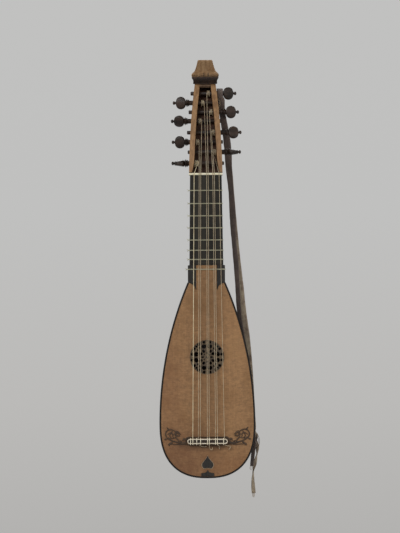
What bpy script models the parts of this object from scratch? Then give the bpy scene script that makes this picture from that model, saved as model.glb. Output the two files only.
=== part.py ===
"""Pandurina: a small lute with a pear-shaped bowl, a bent-back pegbox and eight side pegs.

Metres, +Z up along the neck, +X to the right as one faces the belly, +Y from the belly to the back.
The instrument hangs by the waist of its finial, and that hanging point is the origin. While a piece is
modelled, its own numbers are counted from the top of the neck: Z is 0 where the pegbox meets the neck,
and Y is 0 on the front of the belly and of the fingerboard. One empty then carries every piece to the
hanging point. The bowl is a slice-by-slice turned shape of nine ribs, the flat woods are extruded
outlines, and the pegs, the strings and the neck are lofted or swept along their own lines.
"""

import math

import bmesh
import bpy
from mathutils import Vector

GAP = 0.0003  # clearance between two pieces that touch

# Strings
NUT_COURSES = (-0.0146, -0.0073, 0.0020, 0.0098, 0.0166)
BRIDGE_COURSES = (-0.0184, -0.0102, 0.0010, 0.0113, 0.0211)
NUT_PAIR = 0.0020  # between the two strings of a double course
BRIDGE_PAIR = 0.0024
BASS_STRING = 0.00090  # diameter
THIN_STRING = 0.00065
STRING_RISE = 0.0046  # height over the belly at the bridge
WINDING_TURNS = 3.5
WINDING_POINTS = 9  # a turn
WINDING_SPACE = 0.0005  # between two turns
WINDING_SLACK = 0.0001  # of a turn round its peg, over the common clearance
STRING_PEGS = (1, 3, 5, 7, 8, 6, 4, 2)  # each string's peg, from left to right
PEG_COURSE_X = (-0.0089, -0.0080, -0.0046, -0.0014, 0.0019, 0.0049, 0.0074, 0.0088)  # where it winds

# Neck and fingerboard
NECK_LENGTH = 0.1159
FOOT_LENGTH = 0.0217  # the wider end of the neck, which carries the points
NECK_WIDTH_NUT = 0.0395
NECK_WIDTH_BODY = 0.0424
NECK_DEPTH_NUT = 0.0205
NECK_DEPTH_BODY = 0.0230
NECK_FULLNESS = 0.9  # power of the sine in its section: 1 would be a true half ellipse
NECK_SIDES = 12
NECK_STATIONS = (0.30, 0.65, 1.0)  # shares of its length
FINGERBOARD_THICKNESS = 0.0030
NUT_WIDTH = 0.0420
NUT_THICKNESS = 0.0026
NUT_RISE = 0.0020  # over the fingerboard
NUT_SEAT = 0.0008  # drop of the nut below the end of the neck
NUT_ROUND = 0.3  # share of its thickness
FRET_COUNT = 8
FRET_RULE = 17.0 / 18.0  # each fret leaves this share of the string
FRET_GUT = 0.0009
FRET_LOOSE = 1.1  # bow of the loop behind the neck, in clearances
FRET_DRIFT = (0.0021, 0.0011, 0.0001, -0.0003, 0.0002, -0.0008, -0.0024, -0.0024)  # tied frets move

# Body
BODY_LENGTH = 0.2449  # bottom edge to the corner under the points
BODY_WIDTH = 0.1200
WIDEST_UP = 0.0680  # height of the widest place over the bottom edge
LOWER_POWER = 2.45  # of the superellipse of the lower end
SHOULDER_STEP = 0.0005  # the body stands out past the neck's foot
FOOT_WIDTH = 0.0465
BOWL_DEPTH = 0.0620  # at the widest place, from the front of the belly
BELLY_THICKNESS = 0.0018
BINDING_WIDTH = 0.0019
EDGE_STEPS = 36  # points down one side of the belly
RIB_COUNT = 9
RIB_THICKNESS = 0.0014
RIB_STEPS = 11  # half the stations down a rib
CLASP_RADIUS = 0.0140  # of the cap over the ends of the ribs
TONGUE_WIDTH = 0.0262
POINT_DROP = 0.0092  # how far each point's tip passes the corner
POINT_TIP = 0.0020  # width of the point near its tip
POINT_CURVE = 0.55  # share of the drop at which the point is that wide
POINT_SHOULDER = (0.0045, 0.0016)  # last bend of its edge, in from the corner and below it
ROSE_UP = 0.1514  # its centre over the bottom edge
ROSE_DIAMETER = 0.0425
ROSE_THICKNESS = 0.0012
ROSE_PETALS = 8
ROSE_SIDES = 32
ROSE_HOLE_SIDES = 5
ROSE_RINGS = ((0.0188, 9.0, 0.0011), (0.0142, 12.5, 0.0018), (0.0078, 13.0, 0.0011))
BAR_WIDTH = 0.0050
BAR_HEIGHT = 0.0090
BAR_SLOPE = 0.6  # its ends run in by this share of the height
BAR_PLACES = (0.1900, 0.1220, 0.0900)  # over the bottom edge
BAR_MARGIN = 0.0035
BLOCK_LENGTH = 0.0260
BLOCK_ROOM = 1.25  # between the block and the ribs, in rib clearances
LINER_WIDTH = 0.0030
LINER_DEPTH = 0.0080
LINER_UP = 0.0340
LINER_ROOM = 1.7  # between the liner and the ribs, in rib clearances

# Bridge and ornaments
BRIDGE_UP = 0.0494  # its upper edge over the bottom edge
BRIDGE_LENGTH = 0.0507
BRIDGE_WIDTH = 0.0066
BRIDGE_HEIGHT = 0.0052
BRIDGE_CAP = 0.0010
CAP_RIM = 0.0012
VENEER = 0.0006  # thickness of the ornaments laid on the belly
SCROLL_SPACE = 0.00085  # between the bridge and each scroll
SCROLL_THIN = 0.0010
SCROLL_SWELL = 0.0008  # added along the middle of the stroke
SCROLL_BEAD = 0.0010  # added at its curled end
SCROLL_ROUTE = (
    (0.0, 0.0),
    (0.0060, -0.0012),
    (0.0120, -0.0004),
    (0.0180, -0.0014),
    (0.0228, 0.0004),
    (0.0256, 0.0052),
    (0.0250, 0.0110),
    (0.0205, 0.0146),
    (0.0150, 0.0136),
    (0.0118, 0.0092),
    (0.0140, 0.0048),
    (0.0188, 0.0048),
    (0.0200, 0.0088),
    (0.0170, 0.0098),
)
SPADE_UP = 0.0124
SPADE_WIDTH = 0.0139
SPADE_HEIGHT = 0.0158
SPADE_SHAPE = (  # right half, as shares of the half width and of the height
    (0.0, 1.0),
    (0.12, 0.88),
    (0.40, 0.70),
    (0.80, 0.50),
    (1.0, 0.34),
    (0.98, 0.20),
    (0.80, 0.06),
    (0.60, 0.0),
    (0.14, 0.05),
)
TAIL_UP = 0.0024
TAIL_WIDTH = 0.0162
TAIL_HEIGHT = 0.0086
TAIL_SHAPE = (
    (0.0, 1.0),
    (0.10, 0.74),
    (0.28, 0.60),
    (0.55, 0.52),
    (0.96, 0.47),
    (1.0, 0.38),
    (1.0, 0.03),
    (0.50, 0.0),
)

# Pegbox
PEGBOX_RISE = 0.1106  # height of its front edge over the end of the neck
LEAN_NUT = math.radians(11.0)
LEAN_TOP = math.radians(35.0)
PEGBOX_HALF_NUT = 0.0210
PEGBOX_HALF_LOSS = (0.0025, 0.0054)  # straight and curved parts of the taper
PEGBOX_DEPTH_NUT = 0.0220
PEGBOX_DEPTH_LOSS = 0.0035
CHEEK = 0.0064
CHEEK_NUT = 0.0036  # thinner where the outer strings come in
CHEEK_FLARE = 0.0220  # length of that thinning
FLOOR = 0.0030  # back plate of the pegbox
CHEEK_STEPS = 10

# Pegs
PEG_STATIONS = (0.0144, 0.0298, 0.0441, 0.0576, 0.0740, 0.0868, 0.1003, 0.1138)
PEG_TURNS = (90.0, 90.0, 15.0, -20.0, 35.0, 0.0, 0.0, 0.0)  # where each head was left
PEG_SETBACK = 0.0095  # axis behind the front edge of the cheeks
PEG_SETBACK_MORE = 0.0040  # added half way up
PEG_RADIUS = 0.00305
PEG_TAPER = 0.017  # radius lost per length
PEG_TIPS = (0.0024, 0.0024, 0.0024, 0.0046, 0.0024, 0.0046, 0.0024, 0.0046)  # past the far cheek
PEG_SHOWS = (0.0016, 0.0036, 0.0024, 0.0060, 0.0052, 0.0052, 0.0050, 0.0046)  # bare outside the near one
PEG_CLEARANCE = 0.0003
PEG_SIDES = 10
HOLE_OVERRUN = 0.0040  # the cutters pass the cheeks by this
HEAD_WIDTH = 0.0160
HEAD_LENGTH = 0.0127
HEAD_THICK = 0.0088
HEAD_THIN = 0.0050
HEAD_FULLNESS = 0.75  # power of the sine in its outline: 1 would be an ellipse
HEAD_ANGLES = (15, 40, 65, 90, 115, 140)
COLLAR_LENGTH = 0.0040
COLLAR_RADIUS = 0.0050
COLLAR_RINGS = (  # distance in from the head, share of the radius
    (0.0, 0.86),
    (0.0008, 1.0),
    (0.0018, 1.0),
    (0.0024, 0.76),
    (0.0034, 0.86),
)
PIP_LENGTH = 0.0040
PIP_RADIUS = 0.0023
PIP_RINGS = ((0.0, 0.6), (0.0006, 1.0), (0.0024, 0.95), (0.0032, 0.55))

# Finial
MOULDING_HEIGHT = 0.0090
MOULDING_HALF = 0.0134
MOULDING_FLARE = 0.0034
MOULDING_LIP = 0.0008  # stands proud of the pegbox, front and back
MOULDING_SHAPE = (  # share of the height, share of the flare
    (0.0, 0.0),
    (0.08, 0.47),
    (0.50, 0.47),
    (0.62, 0.56),
    (0.78, 0.85),
    (0.90, 1.0),
    (1.0, 1.0),
)
CAP_HEIGHT = 0.0209
CAP_HALF = 0.0171
CAP_TOP_HALF = 0.0090
CAP_PROUD = 0.0045
CAP_TOP_DEPTH = 0.0150
CAP_SHAPE = (  # share of the height, share of the way from the top's width to the full one
    (0.0, 0.92),
    (0.04, 0.99),
    (0.12, 1.0),
    (0.18, 0.94),
    (0.24, 0.78),
    (0.30, 0.59),
    (0.42, 0.42),
    (0.61, 0.26),
    (0.92, 0.05),
    (1.0, -0.06),
)
HANG_UP = 0.0185  # hanging point above the end of the pegbox

# Strap
STRAP_THICKNESS = 0.0010
STRAP_CLEARANCE = 0.0006  # over the peg's collar
STRAP_IN = 0.0044  # middle of the ribbon, out from the cheek at the top peg
DARK_OVER = (  # round the top peg: degrees from straight above it, width
    (55, 0.0076),
    (20, 0.0076),
    (-15, 0.0076),
    (-50, 0.0076),
    (-85, 0.0070),
)
DARK_ROUTE = (  # place, turn of the ribbon about its own line in degrees, width
    (0.0190, 0.0453, 0.0945, 0, 0.0058),
    (0.0214, 0.0455, 0.0910, 10, 0.0052),
    (0.0217, 0.0458, 0.0870, 20, 0.0050),
    (0.0214, 0.0462, 0.0815, 10, 0.0056),
    (0.0209, 0.0464, 0.0755, 0, 0.0070),
    (0.0222, 0.0463, 0.0670, 0, 0.0076),
    (0.0258, 0.0458, 0.0460, 0, 0.0084),
    (0.0280, 0.0450, 0.0254, -8, 0.0090),
    (0.0290, 0.0438, 0.0029, 10, 0.0076),
    (0.0316, 0.0420, -0.0246, 25, 0.0068),
    (0.0333, 0.0400, -0.0546, 10, 0.0076),
    (0.0344, 0.0380, -0.0846, 35, 0.0062),
    (0.0371, 0.0360, -0.1146, 20, 0.0064),
)
DARK_BESIDE = (  # the same, with X from the body's widest place
    (-0.0213, 0.0345, -0.1446, 25, 0.0056),
    (-0.0198, 0.0335, -0.1740, 40, 0.0062),
    (-0.0160, 0.0330, -0.2050, 30, 0.0065),
    (-0.0110, 0.0340, -0.2350, 20, 0.0065),
    (-0.0080, 0.0362, -0.2650, 15, 0.0065),
    (-0.0064, 0.0375, -0.2900, 15, 0.0065),
    (-0.0054, 0.0375, -0.3150, 20, 0.0065),
    (-0.0040, 0.0350, -0.3400, 30, 0.0065),
    (-0.0080, 0.0310, -0.3680, 40, 0.0065),
)
LIGHT_OVER = (
    (70, 0.0074),
    (95, 0.0074),
)
LIGHT_ROUTE = (
    (0.0190, 0.0575, 0.0900, 0, 0.0074),
    (0.0210, 0.0573, 0.0750, 10, 0.0074),
    (0.0250, 0.0568, 0.0520, 20, 0.0074),
    (0.0280, 0.0550, 0.0250, 25, 0.0070),
    (0.0310, 0.0520, -0.0150, 10, 0.0070),
    (0.0340, 0.0490, -0.0550, 0, 0.0070),
    (0.0372, 0.0455, -0.0850, 0, 0.0060),
    (0.0400, 0.0430, -0.1146, 0, 0.0060),
)
LIGHT_BESIDE = (
    (-0.0168, 0.0410, -0.1446, 0, 0.0064),
    (-0.0141, 0.0395, -0.1740, 10, 0.0068),
    (-0.0103, 0.0385, -0.2050, 5, 0.0074),
    (-0.0076, 0.0390, -0.2350, 5, 0.0074),
    (-0.0055, 0.0405, -0.2650, 10, 0.0070),
    (-0.0038, 0.0415, -0.2950, 20, 0.0064),
    (-0.0015, 0.0400, -0.3200, 40, 0.0056),
    (0.0015, 0.0370, -0.3380, 80, 0.0050),
    (0.0010, 0.0350, -0.3560, 90, 0.0045),
    (-0.0030, 0.0340, -0.3780, 60, 0.0040),
    (-0.0028, 0.0335, -0.4020, 20, 0.0046),
)

PARTS_NAME = "Pandurina"


def clear_scene():
    """Empties the file that Blender opens with."""
    for obj in list(bpy.data.objects):
        bpy.data.objects.remove(obj, do_unlink=True)
    for group in list(bpy.data.collections):
        bpy.data.collections.remove(group)


clear_scene()
PARTS = bpy.data.collections.new(PARTS_NAME)
bpy.context.scene.collection.children.link(PARTS)
CUTTERS = bpy.data.collections.new("Cutters")
bpy.context.scene.collection.children.link(CUTTERS)


# The pegbox's own line: a circular arc that leans back more and more
ARC_RADIUS = PEGBOX_RISE / (math.sin(LEAN_TOP) - math.sin(LEAN_NUT))
ARC_LENGTH = ARC_RADIUS * (LEAN_TOP - LEAN_NUT)


def lean(along):
    """Angle of the pegbox from upright at a distance along its front edge."""
    return LEAN_NUT + along / ARC_RADIUS


def box_point(along, behind, x=0.0):
    """A point of the pegbox: along its front edge, then square behind it."""
    turn = lean(min(along, ARC_LENGTH))
    up = max(along - ARC_LENGTH, 0.0)
    y = ARC_RADIUS * (math.cos(LEAN_NUT) - math.cos(turn)) + behind * math.cos(turn) + up * math.sin(turn)
    z = ARC_RADIUS * (math.sin(turn) - math.sin(LEAN_NUT)) - behind * math.sin(turn) + up * math.cos(turn)
    return Vector((x, y, z))


def box_half(along):
    """Half the outer width of the pegbox."""
    share = along / ARC_LENGTH
    return PEGBOX_HALF_NUT - PEGBOX_HALF_LOSS[0] * share - PEGBOX_HALF_LOSS[1] * share**2


def box_depth(along):
    """Depth of the cheeks, front to back."""
    return PEGBOX_DEPTH_NUT - PEGBOX_DEPTH_LOSS * (along / ARC_LENGTH) ** 2


def cheek_thickness(along):
    """Cheeks thin towards the nut, where the outer strings run in."""
    share = min(along / CHEEK_FLARE, 1.0)
    return CHEEK_NUT + (CHEEK - CHEEK_NUT) * math.sin(share * math.pi / 2)


def peg_setback(along):
    """Distance of a peg's axis behind the front edge."""
    return PEG_SETBACK + PEG_SETBACK_MORE * math.sin(math.pi * along / ARC_LENGTH)


def end_point(behind, x=0.0):
    """A point of the pegbox's upper end, which is sawn level with its front corner."""
    return box_point(ARC_LENGTH + behind * math.tan(LEAN_TOP), behind, x)


def pegbox_corner(along, behind, x):
    """A point of a section across the pegbox, the last of which is its level end."""
    if along > ARC_LENGTH - GAP / 2:
        return end_point(behind, x)
    return box_point(along, behind, x)


HANG = end_point(box_depth(ARC_LENGTH) / 2) + Vector((0.0, 0.0, HANG_UP))
HANGER = bpy.data.objects.new("hanging_point", None)
HANGER.location = -HANG
bpy.context.scene.collection.objects.link(HANGER)


def material(name, colour, roughness, metallic=0.0):
    """A plain Principled finish."""
    finish = bpy.data.materials.new(name)
    finish.use_nodes = True
    shader = finish.node_tree.nodes["Principled BSDF"]
    shader.inputs["Base Color"].default_value = (*colour, 1.0)
    shader.inputs["Roughness"].default_value = roughness
    shader.inputs["Metallic"].default_value = metallic
    return finish


SPRUCE = ((0.26, 0.15, 0.07), 0.55)
FRUITWOOD = ((0.34, 0.19, 0.08), 0.5)
EBONY = ((0.018, 0.018, 0.016), 0.35)
ROSEWOOD = ((0.045, 0.026, 0.018), 0.45)
BONE = ((0.70, 0.62, 0.46), 0.4)
GUT = ((0.48, 0.37, 0.24), 0.45)
RIBBON_DARK = ((0.07, 0.045, 0.035), 0.9)
RIBBON_LIGHT = ((0.26, 0.19, 0.13), 0.9)
PARCHMENT = ((0.14, 0.11, 0.08), 0.7)


def finish_object(obj, look, collection=PARTS, parent=HANGER):
    """Gives a piece its material, its collection and its place under the hanging point."""
    obj.data.materials.clear()
    obj.data.materials.append(material(obj.name, *look))
    collection.objects.link(obj)
    obj.parent = parent
    return obj


def mesh_object(name, bm, smooth_angle=None):
    """Turns a bmesh with outward faces into an object."""
    bmesh.ops.recalc_face_normals(bm, faces=bm.faces)
    mesh = bpy.data.meshes.new(name)
    bm.to_mesh(mesh)
    bm.free()
    if smooth_angle is not None:
        mesh.shade_smooth()
        mesh.set_sharp_from_angle(angle=math.radians(smooth_angle))
    return bpy.data.objects.new(name, mesh)


def loft(name, rings, look, smooth_angle=35.0, collection=PARTS, parent=HANGER):
    """A closed solid through rings that all have the same number of points."""
    bm = bmesh.new()
    rows = [[bm.verts.new(point) for point in ring] for ring in rings]
    count = len(rows[0])
    for low, high in zip(rows, rows[1:]):
        for i in range(count):
            j = (i + 1) % count
            bm.faces.new((low[i], low[j], high[j], high[i]))
    bm.faces.new(reversed(rows[0]))
    bm.faces.new(rows[-1])
    return finish_object(mesh_object(name, bm, smooth_angle), look, collection, parent)


def curve_to_mesh(obj):
    """Replaces a curve by its welded mesh, in the same place."""
    bpy.context.scene.collection.objects.link(obj)
    bpy.context.view_layer.update()
    evaluated = obj.evaluated_get(bpy.context.evaluated_depsgraph_get())
    mesh = bpy.data.meshes.new_from_object(evaluated)
    bm = bmesh.new()
    bm.from_mesh(mesh)
    bmesh.ops.remove_doubles(bm, verts=bm.verts, dist=0.00001)
    bmesh.ops.recalc_face_normals(bm, faces=bm.faces)
    bm.to_mesh(mesh)
    bm.free()
    solid = bpy.data.objects.new(obj.name, mesh)
    solid.matrix_world = obj.matrix_world
    name = obj.name
    bpy.data.objects.remove(obj, do_unlink=True)
    solid.name = name
    return solid


def poly_spline(curve, points, cyclic):
    """Adds one spline of straight runs."""
    spline = curve.splines.new("POLY")
    spline.points.add(len(points) - 1)
    for target, point in zip(spline.points, points):
        target.co = (*point, 1.0)
    spline.use_cyclic_u = cyclic


def plate(name, outlines, front, thickness, look):
    """A flat piece in the plane of the belly: outlines of (x, z), the holes after the edge."""
    curve = bpy.data.curves.new(name, "CURVE")
    curve.dimensions = "2D"
    curve.fill_mode = "BOTH"
    curve.extrude = thickness / 2
    for outline in outlines:
        poly_spline(curve, [(x, z, 0.0) for x, z in outline], True)
    obj = bpy.data.objects.new(name, curve)
    obj.rotation_euler = (math.pi / 2, 0.0, 0.0)
    obj.location = (0.0, front + thickness / 2, 0.0)
    return finish_object(curve_to_mesh(obj), look)


def tube(name, points, diameter, look, cyclic=False, sides=1):
    """A round gut or wire along its points."""
    curve = bpy.data.curves.new(name, "CURVE")
    curve.dimensions = "3D"
    curve.bevel_depth = diameter / 2
    curve.bevel_resolution = sides
    curve.use_fill_caps = not cyclic
    poly_spline(curve, points, cyclic)
    return finish_object(curve_to_mesh(bpy.data.objects.new(name, curve)), look)


def cut(obj, cutters):
    """Takes the cutters out of a piece."""
    for cutter in cutters:
        cutter.hide_render = True
        cutter.display_type = "WIRE"
        modifier = obj.modifiers.new(cutter.name, "BOOLEAN")
        modifier.operation = "DIFFERENCE"
        modifier.object = cutter


def circle(x, z, radius, count, start=0.0):
    """Points of a round outline."""
    return [
        (
            x + radius * math.cos(start + 2 * math.pi * i / count),
            z + radius * math.sin(start + 2 * math.pi * i / count),
        )
        for i in range(count)
    ]


# Outline of the body, counted from its bottom edge
CORNER_Z = -NECK_LENGTH - FOOT_LENGTH
BOTTOM_Z = CORNER_Z - BODY_LENGTH
HALF_BODY = BODY_WIDTH / 2
FLANK_RISE = BODY_LENGTH - WIDEST_UP
FLANK_DROP = HALF_BODY - FOOT_WIDTH / 2 - SHOULDER_STEP
FLANK_RADIUS = (FLANK_RISE**2 + FLANK_DROP**2) / (2 * FLANK_DROP)
BRIDGE_TOP_Z = BOTTOM_Z + BRIDGE_UP
BRIDGE_Z = BRIDGE_TOP_Z - BRIDGE_WIDTH / 2
NUT_Z = -NUT_SEAT - NUT_THICKNESS / 2  # where a string crosses the nut
SCALE_LENGTH = NUT_Z - BRIDGE_TOP_Z


def body_half(up):
    """Half-width of the body at a height over its bottom edge."""
    if up < WIDEST_UP:
        share = max(1.0 - abs((WIDEST_UP - up) / WIDEST_UP) ** LOWER_POWER, 0.0)
        return HALF_BODY * share ** (1 / LOWER_POWER)
    rise = min(up - WIDEST_UP, FLANK_RADIUS)
    return HALF_BODY - FLANK_RADIUS + math.sqrt(FLANK_RADIUS**2 - rise**2)


def outline_half(steps, least=0.0):
    """Right half of the body's outline from the corner down to the middle of the bottom edge."""
    points = []
    flank = steps // 2
    for i in range(flank):
        up = BODY_LENGTH + (WIDEST_UP - BODY_LENGTH) * i / flank
        points.append((body_half(up), up))
    lower = steps - flank
    for i in range(lower + 1):
        turn = math.pi / 2 * i / lower
        half = HALF_BODY * math.cos(turn) ** (2 / LOWER_POWER)
        up = WIDEST_UP * (1.0 - math.sin(turn) ** (2 / LOWER_POWER))
        points.append((max(half, least), up))
    return points


def inset_outline(points, distance):
    """The same half outline, moved inwards along its own normals."""
    moved = []
    for i, (half, up) in enumerate(points):
        before = points[max(i - 1, 0)]
        after = points[min(i + 1, len(points) - 1)]
        run = (after[0] - before[0], after[1] - before[1])
        size = math.hypot(*run)
        moved.append((half + run[1] / size * distance, up - run[0] / size * distance))
    return moved


def level(up):
    """Height over the bottom edge, as a Z of the model."""
    return BOTTOM_Z + up


BOWL_Y = BELLY_THICKNESS + GAP  # plane of the ribs' front edges
BOWL_STRETCH = (BOWL_DEPTH - BOWL_Y) / HALF_BODY


def bowl_point(half, up, turn):
    """A point of the bowl, turned about the body's axis from the right edge to the left."""
    return Vector((half * math.cos(turn), BOWL_Y + half * math.sin(turn) * BOWL_STRETCH, level(up)))


def make_ribs():
    """Nine ribs, each a slice of the bowl with a thin joint to the next."""
    outer = outline_half(RIB_STEPS * 2)
    outer = [point for point in outer if point[0] > CLASP_RADIUS]
    inner = inset_outline(outer, RIB_THICKNESS)
    width = math.pi / RIB_COUNT
    for rib in range(RIB_COUNT):
        rings = []
        for (half, up), (half_in, up_in) in zip(outer, inner):
            joint = GAP / 2 / half
            joint_in = GAP / 2 / half_in
            start = rib * width + (joint if rib else 0.0)
            stop = (rib + 1) * width - (joint if rib < RIB_COUNT - 1 else 0.0)
            start_in = rib * width + (joint_in if rib else 0.0)
            stop_in = (rib + 1) * width - (joint_in if rib < RIB_COUNT - 1 else 0.0)
            rings.append(
                [bowl_point(half, up, start + (stop - start) * i / 2) for i in range(3)]
                + [bowl_point(half_in, up_in, stop_in + (start_in - stop_in) * i / 2) for i in range(3)]
            )
        loft(f"rib_{rib + 1}", rings, EBONY)


def make_end_clasp():
    """The small half-round cap that closes the bowl where the ribs run together."""
    axis = 0.0004
    outline = [point for point in outline_half(RIB_STEPS * 4, axis) if point[0] < CLASP_RADIUS - GAP * 2]
    inner = inset_outline(outline, RIB_THICKNESS)
    inner = [(max(half, axis), up) for half, up in inner]
    section = outline + inner[::-1]
    steps = RIB_COUNT * 2
    rings = []
    for i in range(steps + 1):
        rings.append([bowl_point(half, up, math.pi * i / steps) for half, up in section])
    loft("end_clasp", rings, EBONY)


def points_edge():
    """Right half of the edge between the belly and the ebony point, from the tongue outwards."""
    tongue = TONGUE_WIDTH / 2
    tip_z = CORNER_Z - POINT_DROP
    half_foot = FOOT_WIDTH / 2
    return [
        (tongue, -NECK_LENGTH),
        (tongue, tip_z),
        (tongue + POINT_TIP, tip_z + POINT_DROP * POINT_CURVE),
        (half_foot - POINT_SHOULDER[0], CORNER_Z - POINT_SHOULDER[1]),
        (half_foot, CORNER_Z),
    ]


def make_belly():
    """The flat soundboard, with its tongue running up between the points and its round soundhole."""
    edge = inset_outline(outline_half(EDGE_STEPS), BINDING_WIDTH + GAP)
    edge[-1] = (0.0, edge[-1][1])
    ebony = points_edge()
    beside = [(x - GAP, z - GAP) for x, z in ebony[:2]]
    under = [(x + GAP, z - GAP) for x, z in ebony[1:4]]
    right = beside + under + [(half, level(up)) for half, up in edge]
    left = [(-x, z) for x, z in reversed(right) if x > 0.0001]
    hole = circle(0.0, level(ROSE_UP), ROSE_DIAMETER / 2 + GAP, ROSE_SIDES)
    plate("belly", [right + left, hole], 0.0, BELLY_THICKNESS, SPRUCE)


def make_binding():
    """The dark strip let in round the edge of the belly, from one shoulder to the other."""
    outer = outline_half(EDGE_STEPS)
    inner = inset_outline(outer, BINDING_WIDTH)
    inner[-1] = (0.0, inner[-1][1])
    full_outer = [(h, level(u)) for h, u in outer] + [(-h, level(u)) for h, u in reversed(outer[:-1])]
    full_inner = [(h, level(u)) for h, u in inner] + [(-h, level(u)) for h, u in reversed(inner[:-1])]
    rings = []
    for (x_out, z_out), (x_in, z_in) in zip(full_outer, full_inner):
        rings.append(
            [
                (x_out, 0.0, z_out),
                (x_out, BELLY_THICKNESS, z_out),
                (x_in, BELLY_THICKNESS, z_in),
                (x_in, 0.0, z_in),
            ]
        )
    for end in (0, -1):
        rings[end] = [(x, y, z - GAP * 2) for x, y, z in rings[end]]
    loft("edge_binding", rings, EBONY)


def make_points():
    """The two ebony points beside the belly's tongue."""
    half_foot = FOOT_WIDTH / 2
    inner = points_edge()
    outline = inner + [(half_foot, -NECK_LENGTH)]
    outline = [(x, z - GAP if i in (0, len(outline) - 1) else z) for i, (x, z) in enumerate(outline)]
    for side, name in ((1, "point_right"), (-1, "point_left")):
        plate(name, [[(side * x, z) for x, z in outline]], 0.0, BELLY_THICKNESS, EBONY)


def make_rose():
    """The pierced rose: rings of paired openings on eight rays round one middle star."""
    z = level(ROSE_UP)
    holes = [circle(0.0, z, ROSE_DIAMETER / 2, ROSE_SIDES)]
    for ray in range(ROSE_PETALS):
        turn = 2 * math.pi * ray / ROSE_PETALS
        for reach, spread, radius in ROSE_RINGS:
            for side in (-1, 1):
                angle = turn + side * math.radians(spread)
                x = reach * math.cos(angle)
                up = z + reach * math.sin(angle)
                holes.append(circle(x, up, radius, ROSE_HOLE_SIDES, angle))
    plate("rose", holes, BELLY_THICKNESS - ROSE_THICKNESS - GAP, ROSE_THICKNESS, PARCHMENT)


def half_section(half, front, back, z_of, fullness=NECK_FULLNESS):
    """A flat-fronted half-round ring, as of the neck; at a fullness of 1 it is a true half ellipse."""
    ring = []
    for i in range(NECK_SIDES + 1):
        turn = math.pi * i / NECK_SIDES
        y = front + (back - front) * math.sin(turn) ** fullness
        ring.append((half * math.cos(turn), y, z_of(y)))
    return ring


def make_neck():
    """The half-round neck with its wider foot against the body."""
    front = FINGERBOARD_THICKNESS + GAP
    foot_front = BOWL_Y
    foot_half = FOOT_WIDTH / 2
    foot_back = BOWL_Y + foot_half * BOWL_STRETCH
    top = half_section(NECK_WIDTH_NUT / 2, front, NECK_DEPTH_NUT, lambda y: -y * math.tan(LEAN_NUT))
    rings = [top]
    for share in NECK_STATIONS:
        half = (NECK_WIDTH_NUT + (NECK_WIDTH_BODY - NECK_WIDTH_NUT) * share) / 2
        back = NECK_DEPTH_NUT + (NECK_DEPTH_BODY - NECK_DEPTH_NUT) * share
        rings.append(half_section(half, front, back, lambda y, z=-NECK_LENGTH * share: z))
    rings.append(half_section(foot_half, foot_front, foot_back, lambda y: -NECK_LENGTH - GAP))
    rings.append(half_section(foot_half, foot_front, foot_back, lambda y: CORNER_Z))
    loft("neck", rings, EBONY)


def make_fingerboard():
    """The ebony plate from the nut to the belly, flush with it."""
    top = -NUT_SEAT - NUT_THICKNESS - GAP
    bottom = -NECK_LENGTH + GAP
    rings = []
    for z, half in ((top, NECK_WIDTH_NUT / 2), (bottom, NECK_WIDTH_BODY / 2)):
        rings.append(
            [
                (half, 0.0, z),
                (half, FINGERBOARD_THICKNESS, z),
                (-half, FINGERBOARD_THICKNESS, z),
                (-half, 0.0, z),
            ]
        )
    loft("fingerboard", rings, EBONY)


def make_nut():
    """The bone nut, rounded where the strings cross it."""
    top = -NUT_SEAT
    low = top - NUT_THICKNESS
    round_off = NUT_THICKNESS * NUT_ROUND
    profile = [
        (FINGERBOARD_THICKNESS, top),
        (FINGERBOARD_THICKNESS, low),
        (round_off - NUT_RISE, low),
        (-NUT_RISE, low + round_off),
        (-NUT_RISE, top - round_off),
        (round_off - NUT_RISE, top),
    ]
    rings = [[(x, y, z) for y, z in profile] for x in (-NUT_WIDTH / 2, NUT_WIDTH / 2)]
    loft("nut", rings, BONE)


def fret_z(number):
    """Place of a tied fret, counted like the string from the nut."""
    along = SCALE_LENGTH * (1 - FRET_RULE**number) + FRET_DRIFT[number - 1]
    return NUT_Z - along


def make_frets():
    """Eight loops of gut, each tied right round the neck."""
    clear = GAP + FRET_GUT / 2
    corner = clear / math.sqrt(2)
    for number in range(1, FRET_COUNT + 1):
        z = fret_z(number)
        share = min(-z / NECK_LENGTH, 1.0)
        half = (NECK_WIDTH_NUT + (NECK_WIDTH_BODY - NECK_WIDTH_NUT) * share) / 2
        back = NECK_DEPTH_NUT + (NECK_DEPTH_BODY - NECK_DEPTH_NUT) * share
        front = FINGERBOARD_THICKNESS + GAP
        if z < -NECK_LENGTH:
            half = FOOT_WIDTH / 2
            back = BOWL_Y + half * BOWL_STRETCH
            front = BOWL_Y
        path = [(half - corner, -clear, z), (half + corner, -corner, z)]
        loose = clear * FRET_LOOSE
        for i in range(NECK_SIDES + 1):
            turn = math.pi * i / NECK_SIDES
            y = front + (back + loose - front) * math.sin(turn) ** NECK_FULLNESS
            path.append(((half + loose) * math.cos(turn), y, z))
        path += [(-half - corner, -corner, z), (corner - half, -clear, z)]
        tube(f"fret_{number}", path, FRET_GUT, GUT, cyclic=True)


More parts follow.
